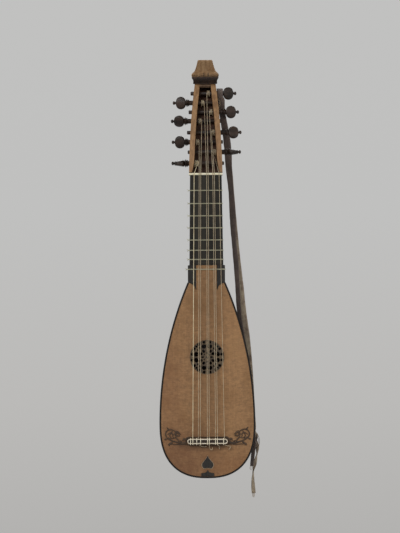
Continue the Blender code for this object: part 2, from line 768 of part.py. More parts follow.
def make_inner_woods():
    """What the bowl hides: the neck block, the tail liner and three belly bars."""
    clear = RIB_THICKNESS + GAP
    rings = []
    for share in (0.0, 0.35, 0.7, 1.0):
        up = BODY_LENGTH - GAP - BLOCK_LENGTH * share
        half = body_half(up) - clear * BLOCK_ROOM
        back = BOWL_Y + half * BOWL_STRETCH
        rings.append(half_section(half, BOWL_Y, back, lambda y, z=level(up): z, fullness=1.0))
    loft("neck_block", rings, SPRUCE)
    room = clear * LINER_ROOM
    outer = [point for point in inset_outline(outline_half(EDGE_STEPS), room) if point[1] < LINER_UP]
    inner = inset_outline(outline_half(EDGE_STEPS), room + LINER_WIDTH)[-len(outer):]
    outer[-1] = (0.0, outer[-1][1])
    inner[-1] = (0.0, inner[-1][1])
    path_out = outer + [(-half, up) for half, up in reversed(outer[:-1])]
    path_in = inner + [(-half, up) for half, up in reversed(inner[:-1])]
    rings = []
    for (x_out, up_out), (x_in, up_in) in zip(path_out, path_in):
        rings.append(
            [
                (x_out, BOWL_Y, level(up_out)),
                (x_out, BOWL_Y + LINER_DEPTH, level(up_out)),
                (x_in, BOWL_Y + LINER_DEPTH, level(up_in)),
                (x_in, BOWL_Y, level(up_in)),
            ]
        )
    loft("tail_liner", rings, SPRUCE)
    for number, up in enumerate(BAR_PLACES, 1):
        half = min(body_half(up + BAR_WIDTH / 2), body_half(up - BAR_WIDTH / 2)) - RIB_THICKNESS - BAR_MARGIN
        top_half = half - BAR_HEIGHT * BAR_SLOPE
        rings = []
        for z in (level(up - BAR_WIDTH / 2), level(up + BAR_WIDTH / 2)):
            rings.append(
                [
                    (half, BOWL_Y, z),
                    (top_half, BOWL_Y + BAR_HEIGHT, z),
                    (-top_half, BOWL_Y + BAR_HEIGHT, z),
                    (-half, BOWL_Y, z),
                ]
            )
        loft(f"belly_bar_{number}", rings, SPRUCE)


def stadium(length, width, z, steps=5):
    """A long outline with round ends."""
    radius = width / 2
    reach = length / 2 - radius
    points = []
    for side, start in ((1, -90.0), (-1, 90.0)):
        for i in range(steps + 1):
            turn = math.radians(start + 180.0 * i / steps)
            points.append((side * reach + radius * math.cos(turn), z + radius * math.sin(turn)))
    return points


def make_bridge():
    """The low bridge and the bone rim on top of it."""
    foot = -GAP - BRIDGE_HEIGHT
    plate("bridge", [stadium(BRIDGE_LENGTH, BRIDGE_WIDTH, BRIDGE_Z)], foot, BRIDGE_HEIGHT, ROSEWOOD)
    inside = stadium(BRIDGE_LENGTH - 2 * CAP_RIM, BRIDGE_WIDTH - 2 * CAP_RIM, BRIDGE_Z)
    outside = stadium(BRIDGE_LENGTH, BRIDGE_WIDTH, BRIDGE_Z)
    plate("bridge_rim", [outside, inside], foot - GAP - BRIDGE_CAP, BRIDGE_CAP, BONE)


def stroke(points, widths):
    """Outline of a tapering stroke along its points."""
    left = []
    right = []
    for i, (x, z) in enumerate(points):
        before = points[max(i - 1, 0)]
        after = points[min(i + 1, len(points) - 1)]
        run = (after[0] - before[0], after[1] - before[1])
        size = math.hypot(*run)
        across = (-run[1] / size * widths[i] / 2, run[0] / size * widths[i] / 2)
        left.append((x + across[0], z + across[1]))
        right.append((x - across[0], z - across[1]))
    return left + right[::-1]


def smooth_line(points, steps):
    """Points of a smooth curve through a few route points."""
    line = []
    last = len(points) - 1
    for i in range(last):
        a = Vector(points[max(i - 1, 0)])
        b = Vector(points[i])
        c = Vector(points[i + 1])
        d = Vector(points[min(i + 2, last)])
        for j in range(steps):
            t = j / steps
            line.append(
                0.5
                * (
                    2 * b
                    + (c - a) * t
                    + (2 * a - 5 * b + 4 * c - d) * t**2
                    + (3 * b - 3 * c + d - a) * t**3
                )
            )
    line.append(Vector(points[last]))
    return line


def make_scrolls():
    """The two scrolls beside the bridge: a tendril that curls back on itself."""
    line = [(point.x, point.y) for point in smooth_line([(x, z, 0.0) for x, z in SCROLL_ROUTE], 4)]
    count = len(line) - 1
    widths = []
    for i in range(count + 1):
        share = i / count
        swell = math.sin(math.pi * min(share * 1.15, 1.0)) ** 2
        bead = math.exp(-(((share - 1.0) / 0.05) ** 2))
        widths.append(SCROLL_THIN + SCROLL_SWELL * swell + SCROLL_BEAD * bead)
    for side, name in ((1, "scroll_right"), (-1, "scroll_left")):
        placed = [(side * (BRIDGE_LENGTH / 2 + SCROLL_SPACE + x), BRIDGE_Z + z) for x, z in line]
        plate(name, [stroke(placed, widths)], -GAP - VENEER, VENEER, EBONY)


def make_inlays():
    """The spade under the bridge and the small ornament over the tail."""
    for name, shape, up, width, height in (
        ("spade_inlay", SPADE_SHAPE, SPADE_UP, SPADE_WIDTH, SPADE_HEIGHT),
        ("tail_inlay", TAIL_SHAPE, TAIL_UP, TAIL_WIDTH, TAIL_HEIGHT),
    ):
        right = [(width / 2 * across, level(up) + height * share) for across, share in shape]
        outline = right + [(-x, z) for x, z in reversed(right[1:])]
        plate(name, [outline], -GAP - VENEER, VENEER, EBONY)


def cheek_ring(along, side):
    """Section of one cheek across the pegbox."""
    out = box_half(along) * side
    into = (box_half(along) - cheek_thickness(along)) * side
    depth = box_depth(along)
    return [
        pegbox_corner(along, 0.0, out),
        pegbox_corner(along, depth, out),
        pegbox_corner(along, depth, into),
        pegbox_corner(along, 0.0, into),
    ]


def peg_radius(inwards):
    """Radius of the tapered shank at a distance inwards from the near cheek's face."""
    return PEG_RADIUS - PEG_TAPER * inwards


def peg_side(number):
    """Odd pegs enter from the left, even ones from the right."""
    return -1 if number % 2 else 1


def peg_place(number):
    """Centre line point of a peg: its axis runs along X through it."""
    along = PEG_STATIONS[number - 1]
    return box_point(along, peg_setback(along))


def make_pegbox():
    """Two curved cheeks with tapered holes for the pegs, and the plate behind them."""
    cutters = []
    for number in range(1, len(PEG_STATIONS) + 1):
        side = peg_side(number)
        face = box_half(PEG_STATIONS[number - 1])
        middle = peg_place(number)
        rings = []
        for x in (side * (face + HOLE_OVERRUN), -side * (face + HOLE_OVERRUN)):
            radius = peg_radius(face - side * x) + PEG_CLEARANCE
            rings.append(
                [
                    (
                        x,
                        middle.y + radius * math.cos(2 * math.pi * i / PEG_SIDES),
                        middle.z + radius * math.sin(2 * math.pi * i / PEG_SIDES),
                    )
                    for i in range(PEG_SIDES)
                ]
            )
        cutters.append(loft(f"peg_hole_{number}", rings, EBONY, collection=CUTTERS))
    for side, name in ((1, "cheek_right"), (-1, "cheek_left")):
        rings = []
        for i in range(CHEEK_STEPS + 1):
            along = GAP + (ARC_LENGTH - GAP) * i / CHEEK_STEPS
            rings.append(cheek_ring(along, side))
        cut(loft(name, rings, FRUITWOOD), cutters)
    rings = []
    for i in range(CHEEK_STEPS + 1):
        along = GAP + (ARC_LENGTH - GAP) * i / CHEEK_STEPS
        half = box_half(along) - cheek_thickness(along) - GAP
        depth = box_depth(along)
        rings.append(
            [
                pegbox_corner(along, depth - FLOOR, half),
                pegbox_corner(along, depth, half),
                pegbox_corner(along, depth, -half),
                pegbox_corner(along, depth - FLOOR, -half),
            ]
        )
    loft("pegbox_back", rings, FRUITWOOD)


def block_ring(up, half, front, back):
    """Rectangular section across the upright finial, over the level end of the pegbox."""
    z = end_point(0.0).z + up
    return [(half, front, z), (half, back, z), (-half, back, z), (-half, front, z)]


def make_finial():
    """The dark flared moulding and the light cap with hollow-curved sides."""
    front = end_point(0.0).y
    back = end_point(box_depth(ARC_LENGTH)).y
    middle = (front + back) / 2
    rings = []
    for share, flare in MOULDING_SHAPE:
        grow = MOULDING_FLARE * flare
        up = GAP + MOULDING_HEIGHT * share
        lip = MOULDING_LIP + grow
        rings.append(block_ring(up, MOULDING_HALF + grow, front - lip, back + lip))
    loft("finial_moulding", rings, ROSEWOOD)
    start = 2 * GAP + MOULDING_HEIGHT
    low_half_depth = (back - front) / 2 + CAP_PROUD
    top_half_depth = CAP_TOP_DEPTH / 2
    rings = []
    for share, width in CAP_SHAPE:
        half = CAP_TOP_HALF + (CAP_HALF - CAP_TOP_HALF) * width
        reach = top_half_depth + (low_half_depth - top_half_depth) * width
        rings.append(block_ring(start + CAP_HEIGHT * share, half, middle - reach, middle + reach))
    loft("finial_cap", rings, FRUITWOOD)


def peg_profile(number):
    """Stations of a peg along its axis from the head end: distance outwards, half width, half thickness."""
    show = PEG_SHOWS[number - 1]
    head_in = show + COLLAR_LENGTH
    pip_out = head_in + HEAD_LENGTH + PIP_LENGTH
    reach = HEAD_LENGTH / 2
    stations = [(pip_out - inwards, PIP_RADIUS * share, PIP_RADIUS * share) for inwards, share in PIP_RINGS]
    for degrees in HEAD_ANGLES:
        turn = math.radians(degrees)
        share = (1 + math.cos(turn)) / 2
        thick = HEAD_THICK + (HEAD_THIN - HEAD_THICK) * share
        wide = HEAD_WIDTH / 2 * math.sin(turn) ** HEAD_FULLNESS
        stations.append((head_in + reach + reach * math.cos(turn), max(wide, thick / 2), thick / 2))
    for inwards, share in COLLAR_RINGS:
        stations.append((head_in - inwards, COLLAR_RADIUS * share, COLLAR_RADIUS * share))
    stations.append((show, PEG_RADIUS, PEG_RADIUS))
    face = box_half(PEG_STATIONS[number - 1])
    end = 2 * face + PEG_TIPS[number - 1]
    for inwards in (0.0, end):
        stations.append((-inwards, peg_radius(inwards), peg_radius(inwards)))
    return stations


def make_pegs():
    """Eight turned pegs, each about its own axis through both cheeks."""
    for number in range(1, len(PEG_STATIONS) + 1):
        side = peg_side(number)
        face = box_half(PEG_STATIONS[number - 1])
        rings = []
        for outwards, wide, thick in peg_profile(number):
            x = side * (face + outwards)
            rings.append(
                [
                    (
                        x,
                        thick * math.cos(2 * math.pi * i / PEG_SIDES),
                        wide * math.sin(2 * math.pi * i / PEG_SIDES),
                    )
                    for i in range(PEG_SIDES)
                ]
            )
        peg = loft(f"peg_{number}", rings, ROSEWOOD)
        peg.location = peg_place(number)
        peg.rotation_euler = (math.radians(PEG_TURNS[number - 1]), 0.0, 0.0)


def string_list():
    """Each string from left to right: place at the nut, place at the bridge, diameter, peg."""
    rows = []
    for course, (at_nut, at_bridge) in enumerate(zip(NUT_COURSES, BRIDGE_COURSES)):
        single = course in (0, len(NUT_COURSES) - 1)
        for half in (0,) if single else (-1, 1):
            diameter = BASS_STRING if course == 0 else THIN_STRING
            rows.append((at_nut + half * NUT_PAIR / 2, at_bridge + half * BRIDGE_PAIR / 2, diameter))
    return [(*row, peg) for row, peg in zip(rows, STRING_PEGS)]


def least_gap(points, diameter):
    """Least gap of a wound tube to itself, between runs that aren't neighbours."""
    least = 1.0
    skip = WINDING_POINTS // 2
    for i in range(len(points) - 1):
        for j in range(i + skip, len(points) - 1):
            for k in range(5):
                near = points[i].lerp(points[i + 1], k / 4)
                run = points[j + 1] - points[j]
                share = max(0.0, min(1.0, (near - points[j]).dot(run) / run.length_squared))
                least = min(least, (near - points[j] - run * share).length - diameter)
    return least


def string_points(row, index):
    """Route of one string: bridge, nut, then the turns on its peg."""
    at_nut, at_bridge, diameter, number = row
    radius = diameter / 2
    nut_y = -NUT_RISE - GAP - radius
    top_z = -NUT_SEAT - NUT_THICKNESS * 0.25
    low_z = -NUT_SEAT - NUT_THICKNESS * 0.75
    side = peg_side(number)
    face = box_half(PEG_STATIONS[number - 1])
    centre = peg_place(number)
    start_x = PEG_COURSE_X[index]
    away = -1 if start_x < 0 else 1
    pitch = diameter + WINDING_SPACE
    inwards = face - side * start_x
    wind = peg_radius(inwards) + GAP + radius + WINDING_SLACK
    run_y = centre.y - nut_y
    run_z = centre.z - top_z
    reach = math.hypot(run_y, run_z)
    heading = math.atan2(run_y, run_z) - math.asin(wind / reach)
    touch = heading + math.pi / 2
    points = [
        Vector((at_bridge, -STRING_RISE, BRIDGE_TOP_Z + GAP)),
        Vector((at_nut, nut_y, low_z)),
        Vector((at_nut, nut_y, top_z)),
    ]
    steps = int(WINDING_TURNS * WINDING_POINTS)
    spread = 1.0 / math.cos(math.pi / WINDING_POINTS)
    for i in range(steps + 1):
        turn = touch - math.pi - 2 * math.pi * i / WINDING_POINTS
        x = start_x + away * pitch * i / WINDING_POINTS
        points.append(
            Vector((x, centre.y + wind * spread * math.sin(turn), centre.z + wind * spread * math.cos(turn)))
        )
    return points


def make_strings():
    """Eight gut strings, each one unbroken tube from the bridge over the nut to its peg."""
    for index, row in enumerate(string_list()):
        points = string_points(row, index)
        tube(f"string_{index + 1}", points, row[2], GUT)
        gap = least_gap(points[3:], row[2])
        print(f"string_{index + 1} winds with {gap * 1000:.2f} mm between its turns")


def ribbon(name, route, look):
    """A flat ribbon through rows of place, turn about its own line in degrees, and width."""
    line = smooth_line([row[:3] for row in route], 2)
    angles = smooth_line([(row[3], 0.0, 0.0) for row in route], 2)
    widths = smooth_line([(row[4], 0.0, 0.0) for row in route], 2)
    rings = []
    for i, point in enumerate(line):
        run = (line[min(i + 1, len(line) - 1)] - line[max(i - 1, 0)]).normalized()
        across = Vector((1.0, 0.0, 0.0))
        across = (across - run * across.dot(run)).normalized()
        normal = run.cross(across)
        turn = math.radians(angles[i].x)
        flat = across * math.cos(turn) + normal * math.sin(turn)
        thin = normal * math.cos(turn) - across * math.sin(turn)
        half = widths[i].x / 2
        thick = STRAP_THICKNESS / 2
        rings.append(
            [
                point + flat * half + thin * thick,
                point - flat * half + thin * thick,
                point - flat * half - thin * thick,
                point + flat * half - thin * thick,
            ]
        )
    loft(name, rings, look)


def around(centre, reach, degrees, x):
    """A point beside a peg, at an angle from straight above it towards the back."""
    turn = math.radians(degrees)
    return (x, centre.y + reach * math.sin(turn), centre.z + reach * math.cos(turn))


def over_peg(rows):
    """Rows of a ribbon that lies round the collar side of the top right peg."""
    top = peg_place(len(PEG_STATIONS))
    reach = COLLAR_RADIUS + STRAP_THICKNESS / 2 + STRAP_CLEARANCE
    x = box_half(PEG_STATIONS[-1]) + STRAP_IN
    return [(*around(top, reach, degrees, x), 0, width) for degrees, width in rows]


def beside_body(rows):
    """Rows of a ribbon whose X is counted from the body's widest place."""
    return [(HALF_BODY + x, *rest) for x, *rest in rows]


def make_strap():
    """The old ribbon, doubled over the shank of the top right peg and hanging down the right side."""
    ribbon("strap_dark", over_peg(DARK_OVER) + list(DARK_ROUTE) + beside_body(DARK_BESIDE), RIBBON_DARK)
    ribbon("strap_light", over_peg(LIGHT_OVER) + list(LIGHT_ROUTE) + beside_body(LIGHT_BESIDE), RIBBON_LIGHT)


def main():
    """Builds every piece, from the body to the finial."""
    make_ribs()
    make_end_clasp()
    make_belly()
    make_binding()
    make_points()
    make_rose()
    make_inner_woods()
    make_neck()
    make_fingerboard()
    make_nut()
    make_frets()
    make_bridge()
    make_scrolls()
    make_inlays()
    make_pegbox()
    make_finial()
    make_pegs()
    make_strings()
    make_strap()


main()
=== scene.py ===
# %% [markdown]
# # A pandurina
# A pandurina is a very small lute: a pear-shaped bowl of thin ribs, a flat soundboard with a pierced rose, a
# short neck with tied gut frets, and a pegbox that bends back and carries eight wooden pegs. The CAD model
# already has every piece at its true place and size. This lesson dresses it: some CAD pieces only get a
# finish, and the round, carved, wound and woven ones are modelled again with more detail in the same place.

import math

import bmesh
import bpy
from mathutils import Matrix, Vector, noise


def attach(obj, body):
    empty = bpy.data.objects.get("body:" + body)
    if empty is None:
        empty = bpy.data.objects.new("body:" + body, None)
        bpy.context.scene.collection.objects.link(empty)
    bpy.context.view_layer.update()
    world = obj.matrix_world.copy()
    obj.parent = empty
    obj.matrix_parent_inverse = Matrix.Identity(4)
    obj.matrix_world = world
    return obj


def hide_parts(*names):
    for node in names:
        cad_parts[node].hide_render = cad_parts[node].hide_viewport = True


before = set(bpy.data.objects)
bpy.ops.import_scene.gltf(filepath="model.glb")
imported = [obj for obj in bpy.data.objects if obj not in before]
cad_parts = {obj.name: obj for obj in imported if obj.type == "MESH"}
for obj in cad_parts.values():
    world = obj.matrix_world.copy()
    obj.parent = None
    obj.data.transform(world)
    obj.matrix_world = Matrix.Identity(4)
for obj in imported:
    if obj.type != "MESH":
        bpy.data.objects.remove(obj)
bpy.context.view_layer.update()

# %% [markdown]
# ## The instrument's own numbers
# The maker measures from the top of the neck: there Z is 0, and Y is 0 on the front of the soundboard. The
# CAD model hangs from a point inside the finial, so every new piece is moved by that one offset at the end.
# The pegbox follows a circular arc that leans back more and more, and `box_point` walks along it. Its upper
# end is sawn level, and the finial stands upright on that end.

# %% Numbers of the neck, body and pegbox
GAP = 0.0003  # clearance between two pieces that touch
NECK_LENGTH = 0.1159
FOOT_LENGTH = 0.0217
NECK_HALF_NUT = 0.01975
NECK_HALF_BODY = 0.0212
NECK_DEPTH_NUT = 0.0205
NECK_DEPTH_BODY = 0.0230
NECK_FULLNESS = 0.9
BOARD_THICKNESS = 0.0030  # fingerboard
NUT_SEAT = 0.0008
NUT_THICKNESS = 0.0026
NUT_RISE = 0.0020
SCALE_LENGTH = 0.331
BODY_LENGTH = 0.2449
HALF_BODY = 0.0600
WIDEST_UP = 0.0680
LOWER_POWER = 2.45
FOOT_HALF = 0.02325
SHOULDER_STEP = 0.0005  # of the body past the neck's foot, on each side
FLANK_RISE = BODY_LENGTH - WIDEST_UP
FLANK_DROP = HALF_BODY - FOOT_HALF - SHOULDER_STEP
FLANK_RADIUS = (FLANK_RISE**2 + FLANK_DROP**2) / (2 * FLANK_DROP)
BOWL_DEPTH = 0.0620
BOWL_Y = 0.0021  # plane of the ribs' front edges
BOWL_STRETCH = (BOWL_DEPTH - BOWL_Y) / HALF_BODY
CORNER_Z = -NECK_LENGTH - FOOT_LENGTH
BOTTOM_Z = CORNER_Z - BODY_LENGTH
PEGBOX_RISE = 0.1106
LEAN_NUT = math.radians(11.0)
LEAN_TOP = math.radians(35.0)
ARC_RADIUS = PEGBOX_RISE / (math.sin(LEAN_TOP) - math.sin(LEAN_NUT))
ARC_LENGTH = ARC_RADIUS * (LEAN_TOP - LEAN_NUT)
TOP_DEPTH = 0.0185  # depth of the pegbox at its upper end


def box_point(along, behind, x=0.0):
    """A point of the pegbox: along its front edge, then square behind it."""
    turn = LEAN_NUT + min(along, ARC_LENGTH) / ARC_RADIUS
    up = max(along - ARC_LENGTH, 0.0)
    y = ARC_RADIUS * (math.cos(LEAN_NUT) - math.cos(turn)) + behind * math.cos(turn) + up * math.sin(turn)
    z = ARC_RADIUS * (math.sin(turn) - math.sin(LEAN_NUT)) - behind * math.sin(turn) + up * math.cos(turn)
    return Vector((x, y, z))


def end_point(behind, x=0.0):
    """A point of the pegbox's upper end, which is sawn level with its front corner."""
    return box_point(ARC_LENGTH + behind * math.tan(LEAN_TOP), behind, x)


HANG_UP = 0.0185  # hanging point over that end, in the finial's waist
HANG = end_point(TOP_DEPTH / 2) + Vector((0.0, 0.0, HANG_UP))
print("top of the neck lies at", tuple(round(value, 4) for value in -HANG))


# %% [markdown]
# ## Helpers for finishes
# Colours are chosen as the eye and a web page see them, so one function turns each sRGB hex value to the
# linear light that a shader needs. A second one adds a node with its settings and links: with those two, a
# finish reads from top to bottom as a recipe. The rest are short names for the nodes that come up again.

# %% Colour, node and object helpers
def colour(code):
    """An sRGB hex value as linear RGBA."""
    parts = [int(code[i : i + 2], 16) / 255 for i in (1, 3, 5)]
    return (*[p / 12.92 if p <= 0.04045 else ((p + 0.055) / 1.055) ** 2.4 for p in parts], 1.0)


def add(tree, kind, inputs=None, stops=None, **settings):
    """Adds a node: inputs are values or sockets, stops are the colours of a ramp."""
    made = tree.nodes.new("ShaderNode" + kind)
    for name, value in settings.items():
        setattr(made, name, value)
    for key, value in (inputs or {}).items():
        if isinstance(value, bpy.types.NodeSocket):
            tree.links.new(value, made.inputs[key])
        else:
            made.inputs[key].default_value = value
    if stops:
        ramp = made.color_ramp
        while len(ramp.elements) < len(stops):
            ramp.elements.new(1.0)
        for element, (place, code) in zip(ramp.elements, stops):
            element.position = place
            element.color = colour(code)
    return made


def finish(name, roughness, **sockets):
    """A new material with one Principled shader: returns material, nodes and shader."""
    material = bpy.data.materials.new(name)
    material.use_nodes = True
    tree = material.node_tree
    shader = tree.nodes["Principled BSDF"]
    shader.inputs["Roughness"].default_value = roughness
    for socket, value in sockets.items():
        shader.inputs[socket.replace("_", " ")].default_value = value
    return material, tree, shader


def mixed(tree, share, low, high):
    """One colour socket between two colours or sockets."""
    return add(tree, "Mix", {0: share, 6: low, 7: high}, data_type="RGBA").outputs[2]


def ranged(tree, value, low, high, new_low=0.0, new_high=1.0):
    """A value stretched from one range to another, and kept inside it."""
    return add(tree, "MapRange", {0: value, 1: low, 2: high, 3: new_low, 4: new_high}).outputs[0]


def worked(tree, operation, *values):
    """The product, sum or other function of one or two values."""
    return add(tree, "Math", dict(enumerate(values)), operation=operation).outputs[0]


def speckle(tree, place, scale, detail=2.0, roughness=0.5, **more):
    """A noise pattern from 0 to 1, with its scale to the metre."""
    inputs = {"Vector": place, "Scale": scale, "Detail": detail, "Roughness": roughness, **more}
    return add(tree, "TexNoise", inputs).outputs[0]


def stretched(tree, place, scale):
    """A pattern's coordinates with a scale for each axis: under 1 draws it out along that axis."""
    return add(tree, "Mapping", {"Vector": place, "Scale": scale}).outputs[0]


def bumped(tree, shader, height, depth):
    """Joins a height pattern to the shader as a relief of some depth in metres."""
    bump = add(tree, "Bump", {"Height": height, "Distance": depth, "Strength": 1.0})
    tree.links.new(bump.outputs[0], shader.inputs["Normal"])


def linked(name, data):
    """A new object in the scene."""
    made = bpy.data.objects.new(name, data)
    bpy.context.scene.collection.objects.link(made)
    return made


print("white becomes", colour("#FFFFFF"))


# %% [markdown]
# ## Wood
# Many kinds of wood meet here. All of them show the same three things at different scales: growth rings as
# fine parallel lines, short pores or flecks along the grain, and slow cloudy changes of tone. One function
# draws these from real sizes in millimetres. The grain runs along Z on the long pieces and along X on the
# pegs and the bridge, which is made by stretching the pattern's coordinates along that axis.

# %% One recipe for straight-grained wood
def wood(name, tones, ring_mm, pore_mm, roughness, relief_mm=0.05, clouds_mm=45.0, along=2, **sockets):
    """tones are the hex colours of early wood, late wood and cloudy patches."""
    material, tree, shader = finish(name, roughness, **sockets)
    place = add(tree, "TexCoord").outputs["Object"]
    stretch = [1.0, 1.0, 1.0]
    stretch[along] = 0.03
    grain = stretched(tree, place, stretch)
    sway = speckle(tree, place, 22.0)
    lines = speckle(tree, grain, 500.0 / ring_mm, 3.0, Distortion=0.2)
    pores = speckle(tree, grain, 1000.0 / pore_mm)
    clouds = speckle(tree, place, 1000.0 / clouds_mm, 3.0, 0.6)
    ring_share = ranged(tree, lines, 0.36, 0.64)
    pore_share = ranged(tree, pores, 0.52, 0.72)
    cloud_share = ranged(tree, clouds, 0.40, 0.70)
    base = mixed(tree, ring_share, colour(tones[0]), colour(tones[1]))
    base = mixed(tree, worked(tree, "MULTIPLY", pore_share, 0.55), base, colour(tones[1]))
    base = mixed(tree, worked(tree, "MULTIPLY", cloud_share, 0.5), base, colour(tones[2]))
    tree.links.new(base, shader.inputs["Base Color"])
    rough = ranged(tree, sway, 0.3, 0.7, roughness - 0.06, roughness + 0.08)
    tree.links.new(rough, shader.inputs["Roughness"])
    bumped(tree, shader, worked(tree, "ADD", ring_share, pore_share), -relief_mm / 1000)
    return material


DULL = {"Specular_IOR_Level": 0.3}
MATT = {"Specular_IOR_Level": 0.2}
ACROSS = 0  # the grain runs along X
FRUITWOOD = wood("worn_pear_wood", ("#8E6C48", "#6C4E31", "#775A3C"), 1.6, 0.35, 0.5, **DULL)
# pear wood darkened with painted shade, for the pegbox's back and the strip inside it
SHADED_WOOD = wood("pear_wood_painted_shade", ("#4E3222", "#331F15", "#2A1C15"), 1.6, 0.35, 0.7, **DULL)
# pear wood darkened with painted shade, for the block in the moulding's shadow
BLOCK_SHADED_WOOD = wood("pear_wood_painted_moulding_shade", ("#6A5442", "#4C3A2C", "#57432F"), 1.6, 0.35, 0.6, **DULL)
CAP_WOOD = wood("bleached_pear_wood", ("#A88660", "#86633F", "#957451"), 2.2, 0.4, 0.55, 0.08, 14.0, **DULL)
MOULDING_TONES = ("#3B271A", "#20150D", "#2D1D12")
MOULDING_WOOD = wood("stained_pear_wood", MOULDING_TONES, 1.4, 0.3, 0.5, 0.08, 12.0, **DULL)
EBONY = wood("polished_ebony", ("#2B2723", "#191714", "#231F1B"), 1.2, 0.3, 0.38, **DULL)
BOARD_TONES = ("#28251F", "#171511", "#322D25")
BOARD_EBONY = wood("played_ebony", BOARD_TONES, 2.6, 0.4, 0.5, clouds_mm=60.0, **MATT)
BINDING_WOOD = wood("ebony_binding", ("#1C1612", "#110D0A", "#16110D"), 1.2, 0.3, 0.5, **MATT)
HOLLY = wood("grey_holly", ("#A48F76", "#8C7860", "#98846B"), 1.0, 0.3, 0.55, along=ACROSS, **DULL)
RIB_WOOD = wood("rosewood_ribs", ("#4A3226", "#2A1B14", "#38251B"), 2.4, 0.4, 0.36)
PEG_TONES = ("#281C14", "#140E0A", "#3D2A1E")
PEG_WOOD = wood("turned_rosewood", PEG_TONES, 1.8, 0.35, 0.42, 0.05, 9.0, ACROSS, **DULL)
BRIDGE_WOOD = wood("dark_plum_wood", ("#33251B", "#1F160F", "#281C14"), 1.2, 0.3, 0.5, along=ACROSS, **DULL)
INKED_TONES = ("#43301F", "#2C2016", "#5A432C")
INKED_WOOD = wood("inked_pear_veneer", INKED_TONES, 1.0, 0.3, 0.6, 0.05, 7.0, ACROSS, **DULL)
INNER_SPRUCE = wood("bare_spruce", ("#A5895F", "#85673F", "#937850"), 1.3, 0.3, 0.7)
print("woods:", [m.name for m in bpy.data.materials if m.node_tree])

# %% [markdown]
# ## The soundboard's spruce
# The soundboard is split spruce, planed to under 2 mm, and three centuries old. It shows very fine straight
# lines, a mottled brown where varnish and dirt have sunk in, and soft darker places below the bridge and
# along the edges. Under the strings it is painted darker too, as shade that the strings cast. Those places
# are drawn with a few soft round masks. The same masks, made narrow, draw two short cracks in the finish
# of the finial's cap.

# %% Spruce with age stains and painted string shade, and the cap's cracks
CRACKS = ((-0.0016, 0.0006), (0.0038, 0.0007))  # place across and half width
CRACK_FRONT = (-0.0135, 0.0100)  # place and reach from front to back
CRACK_HEIGHT = (-0.0063, 0.0036)  # place and reach up the cap


def soft_spot(tree, place, centre, size):
    """1 in the middle of a soft round mask of some size in metres, 0 outside it."""
    moved = add(tree, "Mapping", {"Vector": place, "Location": centre, "Scale": size}, vector_type="TEXTURE")
    ball = add(tree, "TexGradient", {"Vector": moved.outputs[0]}, gradient_type="SPHERICAL")
    return ranged(tree, ball.outputs[1], 0.0, 0.8)


def old_spruce():
    """The soundboard's finish. Its stains and painted string shade are placed in the maker's numbers, X and
    Z.
    """
    material, tree, shader = finish("old_spruce", 0.6, Specular_IOR_Level=0.3)
    place = add(tree, "TexCoord").outputs["Object"]
    grain = stretched(tree, place, (1.0, 1.0, 0.02))
    flecks = stretched(tree, place, (0.22, 1.0, 1.0))
    rings = speckle(tree, grain, 520.0, 4.0, 0.65)
    bands = speckle(tree, grain, 90.0)
    silk = speckle(tree, flecks, 640.0, 3.0, 0.7)
    dirt = speckle(tree, place, 190.0, 5.0, 0.75)
    blots = speckle(tree, place, 38.0, 6.0, 0.66)
    base = mixed(tree, ranged(tree, rings, 0.30, 0.70, 0.15, 0.75), colour("#8E6A45"), colour("#745335"))
    base = mixed(tree, ranged(tree, bands, 0.45, 0.75, 0.0, 0.25), base, colour("#6F5035"))
    base = mixed(tree, ranged(tree, silk, 0.42, 0.66, 0.0, 0.50), base, colour("#9F7A52"))
    base = mixed(tree, ranged(tree, dirt, 0.46, 0.68, 0.0, 0.70), base, colour("#5F462E"))
    base = mixed(tree, ranged(tree, blots, 0.44, 0.70, 0.0, 0.60), base, colour("#70502F"))
    stains_and_string_shade = (  # centre, reach, colour and most share
        # the first two darken the board under the strings: painted shade of the strings
        (0.000, -0.150, 0.030, 0.090, "#6C5034", 0.30),
        (0.002, -0.285, 0.024, 0.080, "#785B3C", 0.30),
        (-0.032, -0.360, 0.055, 0.062, "#59351F", 0.75),
        (0.030, -0.367, 0.042, 0.032, "#6E4427", 0.40),
        (-0.048, -0.270, 0.026, 0.080, "#6A432A", 0.45),
        (0.036, -0.225, 0.024, 0.070, "#A27C53", 0.30),
        (0.036, -0.310, 0.020, 0.030, "#9C764F", 0.25),
        (0.000, -0.340, 0.052, 0.010, "#38291C", 0.75),
        (0.000, -0.2311, 0.027, 0.027, "#4A3625", 0.60),
    )
    for x, z, wide, high, code, most in stains_and_string_shade:
        share = soft_spot(tree, place, (x - HANG.x, -HANG.y, z - HANG.z), (wide, 0.1, high))
        patchy = worked(tree, "MULTIPLY", share, ranged(tree, blots, 0.3, 0.7, most * 0.5, most))
        base = mixed(tree, patchy, base, colour(code))
    tree.links.new(base, shader.inputs["Base Color"])
    tree.links.new(ranged(tree, blots, 0.3, 0.7, 0.5, 0.7), shader.inputs["Roughness"])
    bumped(tree, shader, rings, 0.00012)
    return material


def crack(material, x, wide):
    """Draws one short dark crack in the front of the cap's lower edge, over its finish."""
    tree = material.node_tree
    shader = next(node for node in tree.nodes if node.type == "BSDF_PRINCIPLED")
    base = shader.inputs["Base Color"].links[0].from_socket
    place = add(tree, "TexCoord").outputs["Object"]
    centre, reach = zip((x, wide), CRACK_FRONT, CRACK_HEIGHT)
    inside = ranged(tree, soft_spot(tree, place, centre, reach), 0.15, 0.45)
    tree.links.new(mixed(tree, inside, base, colour("#2C2017")), shader.inputs["Base Color"])


for x, wide in CRACKS:
    crack(CAP_WOOD, x, wide)
SPRUCE = old_spruce()
print("soundboard finish has", len(SPRUCE.node_tree.nodes), "nodes")

# %% [markdown]
# ## Bone, gut and parchment
# Bone is a hard, slightly waxy white with yellow clouds. Gut strings are twisted from cleaned gut: pale
# yellow-brown, half clear and glossy, so they get a little light under the surface. The rose is cut from
# thin wood and parchment, which has gone grey-brown and stays dull.

